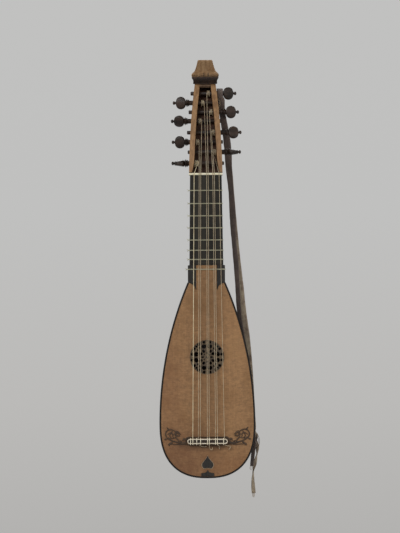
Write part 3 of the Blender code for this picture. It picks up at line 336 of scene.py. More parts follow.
# %% Bone, gut and parchment finishes
def cloudy(name, tones, clouds_mm, roughness, relief_mm, **sockets):
    """A fine cloudy finish between two tones, with specks of a third."""
    material, tree, shader = finish(name, roughness, **sockets)
    place = add(tree, "TexCoord").outputs["Object"]
    clouds = speckle(tree, place, 1000.0 / clouds_mm, 4.0)
    specks = speckle(tree, place, 1400.0)
    base = mixed(tree, ranged(tree, clouds, 0.35, 0.65), colour(tones[0]), colour(tones[1]))
    base = mixed(tree, ranged(tree, specks, 0.60, 0.72, 0.0, 0.5), base, colour(tones[2]))
    tree.links.new(base, shader.inputs["Base Color"])
    bumped(tree, shader, specks, relief_mm / 1000)
    return material


CLEAR = {"Subsurface_Weight": 0.06}
BONE = cloudy("polished_bone", ("#E2D9C2", "#CFC2A2", "#9C8B68"), 6.0, 0.35, 0.02, **CLEAR)
OLD_BONE = cloudy("greyed_bone", ("#CBC1AD", "#A89B84", "#6E614D"), 3.5, 0.45, 0.04)
GUT = cloudy("twisted_gut", ("#CFC1A0", "#B5A27E", "#8D7A58"), 5.0, 0.35, 0.02, **CLEAR)
TIED_GUT = cloudy("tied_gut", ("#E4DCC6", "#CBBFA2", "#A39473"), 3.0, 0.45, 0.02)
FINE_GUT = cloudy("fine_gut", ("#AE9D80", "#94836A", "#766750"), 5.0, 0.35, 0.02, **CLEAR)
FRET_GUT = cloudy("dried_gut", ("#A8A48A", "#8C886E", "#6E6A52"), 4.0, 0.5, 0.02)
PARCHMENT = cloudy("aged_parchment", ("#58472F", "#3E3224", "#2B221A"), 4.0, 0.75, 0.05)
print("cloudy finishes:", BONE.name, GUT.name, PARCHMENT.name)

# %% [markdown]
# ## Camera
# The photograph is taken straight from the front. Its 533 pixels of height show 666 mm at the soundboard. The
# camera stands 20 m off, behind a long lens, so that the pegbox, which lies further back, keeps the same
# scale. It is rolled a little, because the instrument hangs that much out of plumb in the picture.

# %% The camera
SENSOR = 36.0
FRAME_HEIGHT = 0.66625  # metres that the picture's height shows
CAMERA_DISTANCE = 20.0
CAMERA_ASIDE = -0.0080
CAMERA_BELOW = 0.1177  # the top of the neck
CAMERA_ROLL = -0.38  # degrees

camera_data = bpy.data.cameras.new("camera")
camera_data.sensor_width = SENSOR
camera_data.lens = SENSOR * CAMERA_DISTANCE / FRAME_HEIGHT
camera_data.clip_start = 0.1
camera_data.clip_end = 100.0
camera = linked("camera", camera_data)
camera.location = (CAMERA_ASIDE, -HANG.y - CAMERA_DISTANCE, -HANG.z - CAMERA_BELOW)
camera.rotation_euler = Matrix.Rotation(math.radians(90.0), 3, "X").to_euler()
camera.rotation_euler.rotate_axis("Z", math.radians(CAMERA_ROLL))
bpy.context.scene.camera = camera
print("lens in mm:", round(camera_data.lens))

# %% [markdown]
# ## Studio
# A hung instrument needs no table, only a pale floor well below it and an even pale backdrop. The backdrop is
# the world itself, shown to the camera and to reflections; the light on the instrument comes from three soft
# lamps, one strong and two weaker, set so that a colour renders about as it is written.

# %% Floor, world and lamps
BACKDROP = ((0.0, "#B3B2B0"), (0.25, "#BBBAB8"), (0.6, "#C0C0BF"), (1.0, "#C1C1C0"))
BACKDROP_REACH = 0.0167  # sine of the angle above and below the horizon that its tones fill


def studio_floor():
    """A wide pale floor below the hanging instrument."""
    bm = bmesh.new()
    bmesh.ops.create_circle(bm, cap_ends=True, radius=5.0, segments=96)
    bmesh.ops.translate(bm, verts=bm.verts, vec=(0.0, 0.0, -1.0))
    mesh = bpy.data.meshes.new("studio_floor")
    bm.to_mesh(mesh)
    bm.free()
    material, tree, shader = finish("studio_floor", 0.9)
    clouds = speckle(tree, add(tree, "TexCoord").outputs["Object"], 0.8)
    base = mixed(tree, ranged(tree, clouds, 0.3, 0.7), colour("#C6C5C3"), colour("#C9C8C6"))
    tree.links.new(base, shader.inputs["Base Color"])
    mesh.materials.append(material)
    linked("studio_floor", mesh)


def studio_world():
    """Plain light all round, and a pale backdrop for the camera and for reflections."""
    world = bpy.data.worlds.new("studio")
    bpy.context.scene.world = world
    world.use_nodes = True
    tree = world.node_tree
    light = tree.nodes["Background"]
    light.inputs["Color"].default_value = colour("#F4F6FA")
    light.inputs["Strength"].default_value = 0.55
    heading = add(tree, "TexCoord").outputs["Generated"]
    height = add(tree, "SeparateXYZ", {0: heading}).outputs[2]
    share = ranged(tree, height, -BACKDROP_REACH, BACKDROP_REACH)
    tones = add(tree, "ValToRGB", {0: share}, stops=BACKDROP)
    backdrop = add(tree, "Background", {"Color": tones.outputs[0], "Strength": 1.0})
    paths = add(tree, "LightPath").outputs
    seen = worked(tree, "MAXIMUM", paths["Is Camera Ray"], paths["Is Glossy Ray"])
    both = add(tree, "MixShader", {0: seen, 1: light.outputs[0], 2: backdrop.outputs[0]})
    tree.links.new(both.outputs[0], tree.nodes["World Output"].inputs["Surface"])


def soft_lamp(name, place, size, watts):
    """A square soft box that faces the middle of the instrument."""
    data = bpy.data.lights.new(name, "AREA")
    data.size = size
    data.energy = watts
    lamp = linked(name, data)
    lamp.location = place
    middle = Vector((0.0, -0.03, -0.25))
    lamp.rotation_euler = (middle - lamp.location).to_track_quat("-Z", "Y").to_euler()


studio_floor()
studio_world()
soft_lamp("key_lamp", (-1.3, -2.2, 1.2), 1.4, 42.0)
soft_lamp("fill_lamp", (1.9, -1.8, 0.2), 1.6, 18.0)
soft_lamp("back_lamp", (0.3, 2.2, 1.0), 1.6, 26.0)
bpy.context.scene.view_settings.view_transform = "Standard"
print("studio has", len(bpy.data.lights), "lamps")


# %% [markdown]
# ## Turning a bmesh into a finished piece
# Every new piece ends the same way: its mesh is moved to the hanging frame, its faces are smoothed except at
# crisp edges, and it is told which finish it wears, which body it rides on and which CAD pieces it stands
# for.

# %% Helpers for finished pieces
def piece(bm, name, material, stands_for=(), body="instrument", crisp=35.0):
    """Makes an object of a bmesh that is modelled in the maker's numbers."""
    bmesh.ops.translate(bm, verts=bm.verts, vec=-HANG)
    mesh = bpy.data.meshes.new(name)
    bm.to_mesh(mesh)
    bm.free()
    mesh.shade_smooth()
    mesh.set_sharp_from_angle(angle=math.radians(crisp))
    mesh.materials.append(material)
    made = linked(name, mesh)
    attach(made, body)
    if stands_for:
        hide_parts(*stands_for)
    return made


def dress(material, *names):
    """Gives carried-over CAD pieces a finish."""
    for name in names:
        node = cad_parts[name]
        node.data.materials.clear()
        node.data.materials.append(material)
    print(material.name, "on", len(names), "CAD pieces")


def extruded(bm, faces, **settings):
    """Extrudes faces: returns the new corners and the new end faces."""
    grown = bmesh.ops.extrude_face_region(bm, geom=faces, **settings)["geom"]
    verts = [item for item in grown if isinstance(item, bmesh.types.BMVert)]
    return verts, [item for item in grown if isinstance(item, bmesh.types.BMFace)]


def eased(bm, edges, size):
    """Rounds some edges off a little."""
    bmesh.ops.bevel(bm, geom=edges, offset=size, segments=2, profile=0.5, affect="EDGES", material=-1)


def numbered(stem, count):
    """Names that end in 1 to count."""
    return [f"{stem}_{number}" for number in range(1, count + 1)]


dress(SPRUCE, "belly")
dress(BINDING_WOOD, "edge_binding")
dress(EBONY, "point_left", "point_right")
dress(BOARD_EBONY, "fingerboard")
dress(FRUITWOOD, "cheek_left", "cheek_right")
# the back plate wears the pear wood painted in shade
dress(SHADED_WOOD, "pegbox_back")
dress(INNER_SPRUCE, "neck_block", "tail_liner", *numbered("belly_bar", 3))
dress(BONE, "nut")

# %% [markdown]
# ## The bowl
# The back of a lute is a boat of thin ribs, bent over a mould and glued edge to edge. Each rib is nearly flat
# across and follows the body's outline lengthwise. That makes it a slice of a turned shape: the outline is
# spun about the body's long axis through one rib's angle, pressed a little flat, and given its thickness.

# %% Nine ribs and the clasp at the lower end
RIB_COUNT = 9
RIB_THICKNESS = 0.0014
RIB_FLATNESS = 0.6  # 1 would be quite flat across
RIB_JOINT = 0.0026  # radians left open at each joint
RIB_STEPS = 6  # across one rib
CLASP_STEPS = 48  # round the clasp
OUTLINE_STEPS = 56  # down one side of the body
CLASP_RADIUS = 0.0140


def body_outline(steps):
    """Right half of the outline from the shoulder to the bottom edge: half width, height over that edge."""
    flank = steps // 2
    points = []
    for i in range(flank):
        up = BODY_LENGTH + (WIDEST_UP - BODY_LENGTH) * i / flank
        points.append((HALF_BODY - FLANK_RADIUS + math.sqrt(FLANK_RADIUS**2 - (up - WIDEST_UP) ** 2), up))
    for i in range(steps - flank + 1):
        turn = math.pi / 2 * i / (steps - flank)
        half = HALF_BODY * math.cos(turn) ** (2 / LOWER_POWER)
        points.append((max(half, 0.0002), WIDEST_UP * (1 - math.sin(turn) ** (2 / LOWER_POWER))))
    return points


def bowl_slice(name, outline, start, stop, steps, flatness, material, slot, stands_for):
    """Spins an outline about the body's long axis, from one angle to another."""
    bm = bmesh.new()
    chain = [bm.verts.new((half, 0.0, BOTTOM_Z + up)) for half, up in outline]
    edges = [bm.edges.new(pair) for pair in zip(chain, chain[1:])]
    bmesh.ops.rotate(bm, verts=chain, cent=(0.0, 0.0, 0.0), matrix=Matrix.Rotation(start, 3, "Z"))
    bmesh.ops.spin(bm, geom=chain + edges, axis=(0, 0, 1), cent=(0, 0, 0), angle=stop - start, steps=steps)
    bmesh.ops.remove_doubles(bm, verts=bm.verts, dist=0.000001)
    half_turn = (stop - start) / 2
    for vert in bm.verts:
        angle = math.atan2(vert.co.y, vert.co.x) - start - half_turn
        flat = 1 + (math.cos(half_turn) / math.cos(angle) - 1) * flatness
        vert.co.x *= flat
        vert.co.y *= flat
    bmesh.ops.scale(bm, vec=(1.0, BOWL_STRETCH, 1.0), verts=bm.verts)
    bmesh.ops.translate(bm, vec=(0.0, BOWL_Y, 0.0), verts=bm.verts)
    bmesh.ops.recalc_face_normals(bm, faces=bm.faces)
    bm.faces.ensure_lookup_table()
    middle = bm.faces[len(bm.faces) // 2]
    if middle.normal.dot(middle.calc_center_median() - Vector((0.0, BOWL_Y, BOTTOM_Z + WIDEST_UP))) < 0:
        bmesh.ops.reverse_faces(bm, faces=bm.faces)
    made = piece(bm, name, material, stands_for)
    wall = made.modifiers.new("wall", "SOLIDIFY")
    wall.thickness = RIB_THICKNESS
    wall.offset = -1.0
    return made


outline = body_outline(OUTLINE_STEPS)
rib_outline = [point for point in outline if point[0] > CLASP_RADIUS]
clasp_outline = [point for point in outline if point[0] < CLASP_RADIUS - GAP]
for rib in range(RIB_COUNT):
    start = math.pi * rib / RIB_COUNT + (RIB_JOINT if rib else 0.0)
    stop = math.pi * (rib + 1) / RIB_COUNT - (RIB_JOINT if rib < RIB_COUNT - 1 else 0.0)
    bent = rib_outline, start, stop, RIB_STEPS, RIB_FLATNESS
    bowl_slice(f"bent_rib_{rib + 1}", *bent, RIB_WOOD, "rib_wood", [f"rib_{rib + 1}"])
bent = clasp_outline, 0.0, math.pi, CLASP_STEPS, 0.0
bowl_slice("bent_clasp", *bent, EBONY, "ebony_veneer", ["end_clasp"])
print("bowl:", RIB_COUNT, "ribs and a clasp,", len(rib_outline), "points down each rib")

# %% [markdown]
# ## The neck
# The neck is a half-round stick under the fingerboard, veneered dark. It widens to a foot of the body's own
# curve, where it meets the ribs. One half circle is spun from a single point, closed across its flat side,
# and then extruded down the neck, widened and deepened at each station.

# %% The neck and its foot
def carved_neck():
    """Extrudes a half-round section from the nut to the body."""
    front = BOARD_THICKNESS + GAP
    foot_back = BOWL_Y + FOOT_HALF * BOWL_STRETCH
    stations = [(0.0, NECK_HALF_NUT, front, NECK_DEPTH_NUT)]
    for share in (0.15, 0.35, 0.55, 0.75, 0.92, 1.0):
        half = NECK_HALF_NUT + (NECK_HALF_BODY - NECK_HALF_NUT) * share
        back = NECK_DEPTH_NUT + (NECK_DEPTH_BODY - NECK_DEPTH_NUT) * share
        stations.append((-NECK_LENGTH * share, half, front, back))
    stations.append((-NECK_LENGTH - GAP, FOOT_HALF, BOWL_Y, foot_back))
    stations.append((CORNER_Z + GAP, FOOT_HALF, BOWL_Y, foot_back))
    bm = bmesh.new()
    first = bm.verts.new((1.0, 0.0, 0.0))
    bmesh.ops.spin(bm, geom=[first], axis=(0, 0, 1), cent=(0, 0, 0), angle=math.pi, steps=32)
    for vert in bm.verts:
        vert.co.y = abs(vert.co.y) ** NECK_FULLNESS
    section = bmesh.ops.contextual_create(bm, geom=bm.verts[:] + bm.edges[:])["faces"]
    z, half, front, back = stations[0]
    bmesh.ops.scale(bm, vec=(half, back - front, 1.0), verts=bm.verts)
    bmesh.ops.translate(bm, vec=(0.0, front, z), verts=bm.verts)
    top = list(bm.verts)
    for z_next, half_next, front_next, back_next in stations[1:]:
        verts, section = extruded(bm, section, use_keep_orig=z == 0.0)
        grow = (half_next / half, (back_next - front_next) / (back - front), 1.0)
        bmesh.ops.scale(bm, vec=grow, verts=verts, space=Matrix.Translation((0.0, -front, 0.0)))
        bmesh.ops.translate(bm, vec=(0.0, front_next - front, z_next - z), verts=verts)
        z, half, front, back = z_next, half_next, front_next, back_next
    for vert in top:
        vert.co.z = -vert.co.y * math.tan(LEAN_NUT)
    bmesh.ops.recalc_face_normals(bm, faces=bm.faces)
    return piece(bm, "carved_neck", EBONY, ["neck"])


neck = carved_neck()
print("neck has", len(neck.data.polygons), "faces")


# %% [markdown]
# ## Lines that become wood, gut and thread
# Strings, frets, tendrils and threads are all round lines with a route. A Blender curve with a bevel draws
# them: each run is a poly spline through points read from a smooth curve, and a point's radius lets a leaf or
# a knot swell. The curve is made a mesh straight away, so that its place can be kept in its vertices.

# %% Helpers for routes and tubes
WELD = 0.000005  # points closer than this are one point


def smooth_line(points, steps):
    """Points of a smooth curve through a few route points of any dimension."""
    line = []
    last = len(points) - 1
    for i in range(last):
        a, b, c, d = (Vector(points[k]) for k in (max(i - 1, 0), i, i + 1, min(i + 2, last)))
        for j in range(steps):
            t = j / steps
            bend = (2 * a - 5 * b + 4 * c - d) * t**2 + (3 * b - 3 * c + d - a) * t**3
            line.append((2 * b + (c - a) * t + bend) / 2)
    line.append(Vector(points[last]))
    return line


def meshed(curve):
    """A bmesh of a curve's shape, with points that meet welded. The curve is removed."""
    holder = linked("route", curve)
    bpy.context.view_layer.update()
    mesh = bpy.data.meshes.new_from_object(holder.evaluated_get(bpy.context.evaluated_depsgraph_get()))
    bm = bmesh.new()
    bm.from_mesh(mesh)
    bmesh.ops.remove_doubles(bm, verts=bm.verts, dist=WELD)
    bpy.data.objects.remove(holder)
    bpy.data.curves.remove(curve)
    bpy.data.meshes.remove(mesh)
    return bm


def tubes(runs, diameter, sides=3, thin=1.0):
    """A bmesh of round tubes. A run is its points, whether it closes, and its radii as shares."""
    curve = bpy.data.curves.new("route", "CURVE")
    curve.dimensions = "3D"
    curve.bevel_depth = diameter / 2
    curve.bevel_resolution = sides
    curve.use_fill_caps = True
    for points, closed, radii in runs:
        spline = curve.splines.new("POLY")
        spline.points.add(len(points) - 1)
        for i, (target, point) in enumerate(zip(spline.points, points)):
            target.co = (*point, 1.0)
            target.radius = radii[i] if radii else 1.0
        spline.use_cyclic_u = closed
    bm = meshed(curve)
    bmesh.ops.scale(bm, vec=(1.0, thin, 1.0), verts=bm.verts)
    bmesh.ops.recalc_face_normals(bm, faces=bm.faces)
    return bm


def flat_outline(outlines, front, thickness):
    """A bmesh of a flat piece that faces the player: outlines of (x, z), the openings after the edge."""
    curve = bpy.data.curves.new("outline", "CURVE")
    curve.dimensions = "2D"
    curve.fill_mode = "BOTH"
    curve.extrude = thickness / 2
    for outline in outlines:
        spline = curve.splines.new("POLY")
        spline.points.add(len(outline) - 1)
        for target, (x, z) in zip(spline.points, outline):
            target.co = (x, z, 0.0, 1.0)
        spline.use_cyclic_u = True
    bm = meshed(curve)
    bmesh.ops.rotate(bm, verts=bm.verts, cent=(0, 0, 0), matrix=Matrix.Rotation(math.pi / 2, 3, "X"))
    bmesh.ops.translate(bm, verts=bm.verts, vec=(0.0, front + thickness / 2, 0.0))
    bmesh.ops.recalc_face_normals(bm, faces=bm.faces)
    return bm


def round_outline(x, z, radius, count, start=0.0, squash=1.0):
    """Points of a round or oval opening. squash is its width over its length along the start angle."""
    points = []
    for i in range(count):
        turn = 2 * math.pi * i / count
        u, v = radius * math.cos(turn), radius * squash * math.sin(turn)
        aside = u * math.cos(start) - v * math.sin(start)
        points.append((x + aside, z + u * math.sin(start) + v * math.cos(start)))
    return points


print("a smooth line through 3 points has", len(smooth_line(((0, 0), (1, 1), (2, 0)), 4)), "points")

# %% [markdown]
# ## The rose
# The soundhole is closed by a rose cut from thin wood and parchment. Its plan is one group of round and oval
# openings, repeated in each quarter about a small opening in the middle. The plate is one flat outline with
# its openings, cut from a filled curve, because a pierced sheet is easier to draw flat than to carve. Two
# fine raised rings lie on it.

# %% The pierced rose
ROSE_UP = 0.1514
ROSE_Z = BOTTOM_Z + ROSE_UP
ROSE_RADIUS = 0.02125
ROSE_FRONT = 0.0003
ROSE_PLATE = 0.0010
ROSE_RINGS = (  # turn from an axis in degrees, reach, radius, share of its width
    (11.0, 0.01895, 0.00190, 0.95),
    (-11.0, 0.01895, 0.00190, 0.95),
    (15.5, 0.01385, 0.00275, 1.10),
    (-15.5, 0.01385, 0.00275, 1.10),
    (33.5, 0.01895, 0.00195, 0.95),
    (45.0, 0.01875, 0.00165, 0.80),
    (56.5, 0.01895, 0.00195, 0.95),
    (38.5, 0.01420, 0.00150, 0.85),
    (51.5, 0.01420, 0.00150, 0.85),
    (30.0, 0.00850, 0.00215, 0.85),
    (60.0, 0.00850, 0.00215, 0.85),
    (0.0, 0.00560, 0.00190, 0.60),
    (45.0, 0.00470, 0.00090, 0.80),
)
ROSE_MIDDLE = 0.0012  # radius of the opening in the middle
ROSE_CORDS = (0.0211, 0.0112)  # radii of the raised rings
CORD_THICK = 0.0006
CORD_OUT = 0.0001  # of its middle from the plate


def pierced_rose():
    """The plate of the rose with its openings."""
    openings = [round_outline(0.0, ROSE_Z, ROSE_RADIUS, 96)]
    for quarter in range(4):
        for degrees, reach, radius, squash in ROSE_RINGS:
            angle = math.radians(90 * quarter + degrees)
            x = reach * math.cos(angle)
            openings.append(round_outline(x, ROSE_Z + reach * math.sin(angle), radius, 14, angle, squash))
    openings.append(round_outline(0.0, ROSE_Z, ROSE_MIDDLE, 16))
    bm = flat_outline(openings, ROSE_FRONT, ROSE_PLATE)
    return piece(bm, "pierced_rose", PARCHMENT, ["rose"], crisp=30.0)


def raised_cords():
    """Two fine raised rings on the rose."""
    runs = []
    for radius in ROSE_CORDS:
        ring = round_outline(0.0, ROSE_Z, radius, 80)
        runs.append(([(x, 0.0, z) for x, z in ring], True, None))
    bm = tubes(runs, CORD_THICK, sides=1, thin=0.6)
    bmesh.ops.translate(bm, vec=(0.0, ROSE_FRONT - CORD_OUT, 0.0), verts=bm.verts)
    return piece(bm, "rose_raised_cords", PARCHMENT, crisp=60.0)


rose = pierced_rose()
raised_cords()
print("rose has", len(rose.data.polygons), "faces")

# %% [markdown]
# ## Bridge and ornaments
# The bridge is a low bar of dark wood with a raised bone rim, and its ends are round. On both sides a drawn
# scroll of tendrils and leaves grows out of it, and under it lie a spade and a stepped tail ornament. The
# tendrils are flattened tubes whose radius swells into leaves, so they keep a soft hand-cut edge.

# %% The bridge
BRIDGE_HALF = 0.02535
BRIDGE_WIDTH = 0.0066
BRIDGE_HEIGHT = 0.0052
BRIDGE_UP = 0.0494
BRIDGE_TOP_Z = BOTTOM_Z + BRIDGE_UP
BRIDGE_Z = BRIDGE_TOP_Z - BRIDGE_WIDTH / 2
RIM_WIDTH = 0.0014
RIM_HEIGHT = 0.0010
RIM_EASE = 0.00035


def stadium(bm, half_length, width):
    """A face with round ends in the plane of the soundboard, at Y 0."""
    made = bmesh.ops.create_circle(bm, cap_ends=True, radius=width / 2, segments=32)["verts"]
    bmesh.ops.rotate(bm, verts=made, cent=(0, 0, 0), matrix=Matrix.Rotation(math.pi / 2, 3, "X"))
    reach = half_length - width / 2
    for vert in made:
        if abs(vert.co.x) > 0.00001:
            vert.co.x += math.copysign(reach, vert.co.x)
    return made


def bridge_body():
    """The dark bar."""
    bm = bmesh.new()
    stadium(bm, BRIDGE_HALF, BRIDGE_WIDTH)
    bmesh.ops.translate(bm, vec=(0.0, -BRIDGE_HEIGHT, 0.0), verts=extruded(bm, bm.faces[:])[0])
    bmesh.ops.translate(bm, vec=(0.0, -GAP, BRIDGE_Z), verts=bm.verts)
    bmesh.ops.recalc_face_normals(bm, faces=bm.faces)
    return piece(bm, "bridge_bar", BRIDGE_WOOD, ["bridge"])


def bridge_rim():
    """The bone rim: a face inset to a ring, extruded and eased."""
    bm = bmesh.new()
    stadium(bm, BRIDGE_HALF, BRIDGE_WIDTH)
    middle = bm.faces[:]
    bmesh.ops.inset_region(bm, faces=middle, thickness=RIM_WIDTH, use_even_offset=True, use_boundary=True)
    bmesh.ops.delete(bm, geom=middle, context="FACES")
    verts = set(extruded(bm, bm.faces[:])[0])
    bmesh.ops.translate(bm, vec=(0.0, -RIM_HEIGHT, 0.0), verts=list(verts))
    bmesh.ops.recalc_face_normals(bm, faces=bm.faces)
    crisp = []
    for edge in bm.edges:
        if all(vert in verts for vert in edge.verts) and edge.calc_face_angle(0.0) > 1.0:
            crisp.append(edge)
    eased(bm, crisp, RIM_EASE)
    bmesh.ops.translate(bm, vec=(0.0, -2 * GAP - BRIDGE_HEIGHT, BRIDGE_Z), verts=bm.verts)
    return piece(bm, "bridge_bone_edge", OLD_BONE, ["bridge_rim"])


bridge_body()
rim = bridge_rim()
print("bridge rim has", len(rim.data.polygons), "faces")

# %% Scrolls, spade and tail ornament
VENEER = 0.0006
SCROLL_LINE = 0.0010  # a scroll's radius where its half width is 1, pressed flat
SCROLL_LEAST = 0.15  # half width at a stroke's thin ends
SCROLL_STROKES = (  # route in millimetres from the middle of the bridge, then half widths in millimetres
    (
        (
            (26.2, -1.0), (31.0, -2.2), (36.0, -1.4), (41.0, 0.0), (46.0, 1.8), (50.4, 4.8), (52.4, 9.2),
            (50.6, 13.4), (46.2, 15.0), (41.8, 13.6), (39.2, 10.4), (39.4, 6.6), (42.2, 4.2), (45.6, 4.8),
            (47.2, 7.6), (45.4, 10.2), (42.8, 9.2),
        ),
        (0.7, 0.8, 0.9, 0.8, 0.7, 0.7, 0.75, 0.75, 0.75, 0.7, 0.65, 0.6, 0.55, 0.55, 0.55, 0.6, 0.9),
    ),
    (((41.0, 12.6), (38.6, 12.4), (36.0, 10.6), (33.4, 8.8)), (0.4, 1.3, 1.4, 0.3)),
    (((39.4, 8.2), (37.2, 7.0), (35.2, 7.4), (33.8, 6.4)), (0.4, 1.1, 0.9, 0.2)),
    (((40.2, 5.4), (38.0, 3.4), (36.6, 1.4), (36.2, -1.0)), (0.5, 0.9, 0.8, 0.4)),
    (((43.0, 0.6), (45.6, -2.2), (47.6, -3.2), (48.4, -5.6)), (0.5, 1.2, 1.2, 0.3)),
    (((50.2, 4.6), (52.6, 2.8), (54.4, 3.4)), (0.4, 1.0, 0.2)),
    (((48.4, 14.4), (49.6, 16.4), (51.0, 18.0)), (0.5, 0.8, 0.2)),
    (((43.6, 14.4), (45.2, 11.6), (48.0, 10.2), (50.4, 8.4)), (0.4, 0.6, 0.7, 0.3)),
    (((41.6, 4.4), (43.4, 6.8), (43.0, 9.2), (44.6, 11.6)), (0.4, 0.6, 0.8, 0.4)),
    (((26.2, -3.2), (34.0, -3.6), (42.0, -3.4), (49.6, -3.0)), (0.5, 0.55, 0.5, 0.3)),
    (((26.4, -0.2), (27.4, 2.4), (29.6, 2.6), (31.4, 0.8)), (0.6, 1.3, 1.0, 0.3)),
    (((31.6, -2.0), (33.4, 0.4), (35.4, 0.8)), (0.4, 0.9, 0.3)),
    (((26.3, -1.4), (29.0, -1.6), (32.0, -2.2), (35.4, -1.6)), (1.7, 1.5, 1.1, 0.3)),
    (((26.6, 0.6), (25.4, 3.6), (23.2, 5.0), (20.4, 5.4)), (0.7, 1.5, 1.3, 0.4)),
    (((26.8, 1.6), (29.4, 3.4), (31.0, 2.6)), (0.6, 1.2, 0.3)),
    (((21.0, 5.2), (14.0, 4.9), (7.0, 5.3), (0.0, 5.0)), (0.6, 0.9, 0.6, 0.8)),
    (((26.4, -3.6), (20.0, -4.6), (10.0, -4.9), (0.0, -4.8)), (0.5, 0.5, 0.4, 0.4)),
    (((43.4, 0.8), (46.8, 2.8), (49.6, 5.2)), (0.4, 1.3, 0.5)),
    (((38.8, 12.0), (40.6, 9.6), (40.0, 7.0)), (0.4, 1.0, 0.4)),
)
SPADE_UP = 0.0124
SPADE_SIZE = (0.0139, 0.0158)
SPADE_OUTLINE = (  # right half, as shares of the half width and of the height
    (0.0, 1.0), (0.12, 0.88), (0.40, 0.70), (0.80, 0.50), (1.0, 0.34), (0.98, 0.20), (0.80, 0.06),
    (0.60, 0.0), (0.14, 0.04),
)
TAIL_UP = 0.0024
TAIL_SIZE = (0.0162, 0.0086)
TAIL_OUTLINE = (
    (0.0, 1.0), (0.10, 0.74), (0.28, 0.60), (0.55, 0.52), (0.96, 0.47), (1.0, 0.38), (1.0, 0.03),
    (0.50, 0.0),
)
PALE_LINE = 0.0007  # of pale wood let in round the spade
PALE_THICK = 0.0003


def scroll(side, name, stands_for):
    """One scroll beside the bridge."""
    runs = []
    for route, widths in SCROLL_STROKES:
        rows = [(side * x / 1000, 0.0, BRIDGE_Z + z / 1000, w) for (x, z), w in zip(route, widths)]
        points = smooth_line(rows, 5)
        widths = [max(point[3], SCROLL_LEAST) for point in points]
        runs.append(([point[:3] for point in points], False, widths))
    bm = tubes(runs, 2 * SCROLL_LINE, sides=2, thin=0.30)
    bmesh.ops.translate(bm, vec=(0.0, -GAP - VENEER / 2, 0.0), verts=bm.verts)
    return piece(bm, name, INKED_WOOD, [stands_for])


def ornament(shape, up, size, steps, front, thickness, grow=0.0):
    """A flat ornament that is the same on both sides of the centre line: its bmesh."""
    half, height = size[0] / 2 + grow, size[1] + 2 * grow
    right = [(half * across, BOTTOM_Z + up - grow + height * share) for across, share in shape]
    if steps > 1:
        right = [tuple(point) for point in smooth_line(right, steps)]
    left = [(-x, z) for x, z in reversed(right[1:])]
    return flat_outline([right + left], front, thickness)


scroll(1, "drawn_scroll_right", "scroll_right")
scroll(-1, "drawn_scroll_left", "scroll_left")
spade = ornament(SPADE_OUTLINE, SPADE_UP, SPADE_SIZE, 4, -GAP - VENEER, VENEER)
piece(spade, "cut_spade", EBONY, ["spade_inlay"])
halo = ornament(SPADE_OUTLINE, SPADE_UP, SPADE_SIZE, 4, -GAP - 0.0001, PALE_THICK, PALE_LINE)
piece(halo, "spade_pale_line", HOLLY)
tail = ornament(TAIL_OUTLINE, TAIL_UP, TAIL_SIZE, 1, -GAP - VENEER, VENEER)
piece(tail, "cut_tail", EBONY, ["tail_inlay"])
print("each scroll has", len(SCROLL_STROKES), "strokes")

# %% [markdown]
# ## The finial
# The pegbox ends in a dark moulding and a light cap with hollow sides, which stand upright on its level end.
# Both have four sides, so each is a rectangle that is extruded upwards in small steps and widened or narrowed
# at each step, along a profile of a few measured points.

# %% Moulding and cap
MOULDING_HALF = 0.0134
MOULDING_FLARE = 0.0034
MOULDING_LIP = 0.0008
MOULDING_HEIGHT = 0.0090
MOULDING_PROFILE = (  # share of the height, share of the flare
    (0.0, 0.0), (0.05, 0.44), (0.12, 0.50), (0.30, 0.44), (0.50, 0.47), (0.62, 0.58), (0.76, 0.84),
    (0.88, 1.0), (1.0, 1.0),
)
CAP_HEIGHT = 0.0209
CAP_HALF = 0.0171
CAP_TOP_HALF = 0.0090
CAP_PROUD = 0.0045
CAP_TOP_DEPTH = 0.0150
CAP_PROFILE = (  # share of the height, share of the way from the top's width to the full one
    (0.0, 0.90), (0.02, 0.97), (0.06, 1.0), (0.10, 1.0), (0.14, 0.98), (0.19, 0.91), (0.24, 0.78),
    (0.30, 0.60), (0.36, 0.49), (0.42, 0.42), (0.49, 0.36), (0.61, 0.26), (0.73, 0.18), (0.86, 0.10),
    (0.94, 0.04), (0.985, -0.01), (1.0, -0.07),
)
CORNER_EASE = 0.0006
END_FRONT = end_point(0.0).y
END_BACK = end_point(TOP_DEPTH).y
END_MIDDLE = (END_FRONT + END_BACK) / 2
END_REACH = (END_BACK - END_FRONT) / 2
END_Z = end_point(0.0).z


def square_stack(profile, height, half_at, reach_at, low):
    """A rectangle extruded up a profile of (share of height, value), standing on the pegbox."""
    bm = bmesh.new()
    share, value = profile[0]
    bmesh.ops.create_grid(bm, x_segments=2, y_segments=2, size=1.0)
    bmesh.ops.scale(bm, vec=(half_at(value), reach_at(value), 1.0), verts=bm.verts)
    section = bm.faces[:]
    for next_share, next_value in profile[1:]:
        verts, section = extruded(bm, section)
        grow = (half_at(next_value) / half_at(value), reach_at(next_value) / reach_at(value), 1.0)
        bmesh.ops.scale(bm, vec=grow, verts=verts)
        bmesh.ops.translate(bm, vec=(0.0, 0.0, (next_share - share) * height), verts=verts)
        share, value = next_share, next_value
    bmesh.ops.recalc_face_normals(bm, faces=bm.faces)
    corners = []
    for edge in bm.edges:
        ends = [vert.co for vert in edge.verts]
        upright = abs(ends[0].z - ends[1].z) > 0.00001
        if upright and all(abs(end.x) > 0.004 and abs(end.y) > 0.004 for end in ends):
            corners.append(edge)
    eased(bm, corners, CORNER_EASE)
    bmesh.ops.translate(bm, vec=(0.0, END_MIDDLE, END_Z + low), verts=bm.verts)
    return bm


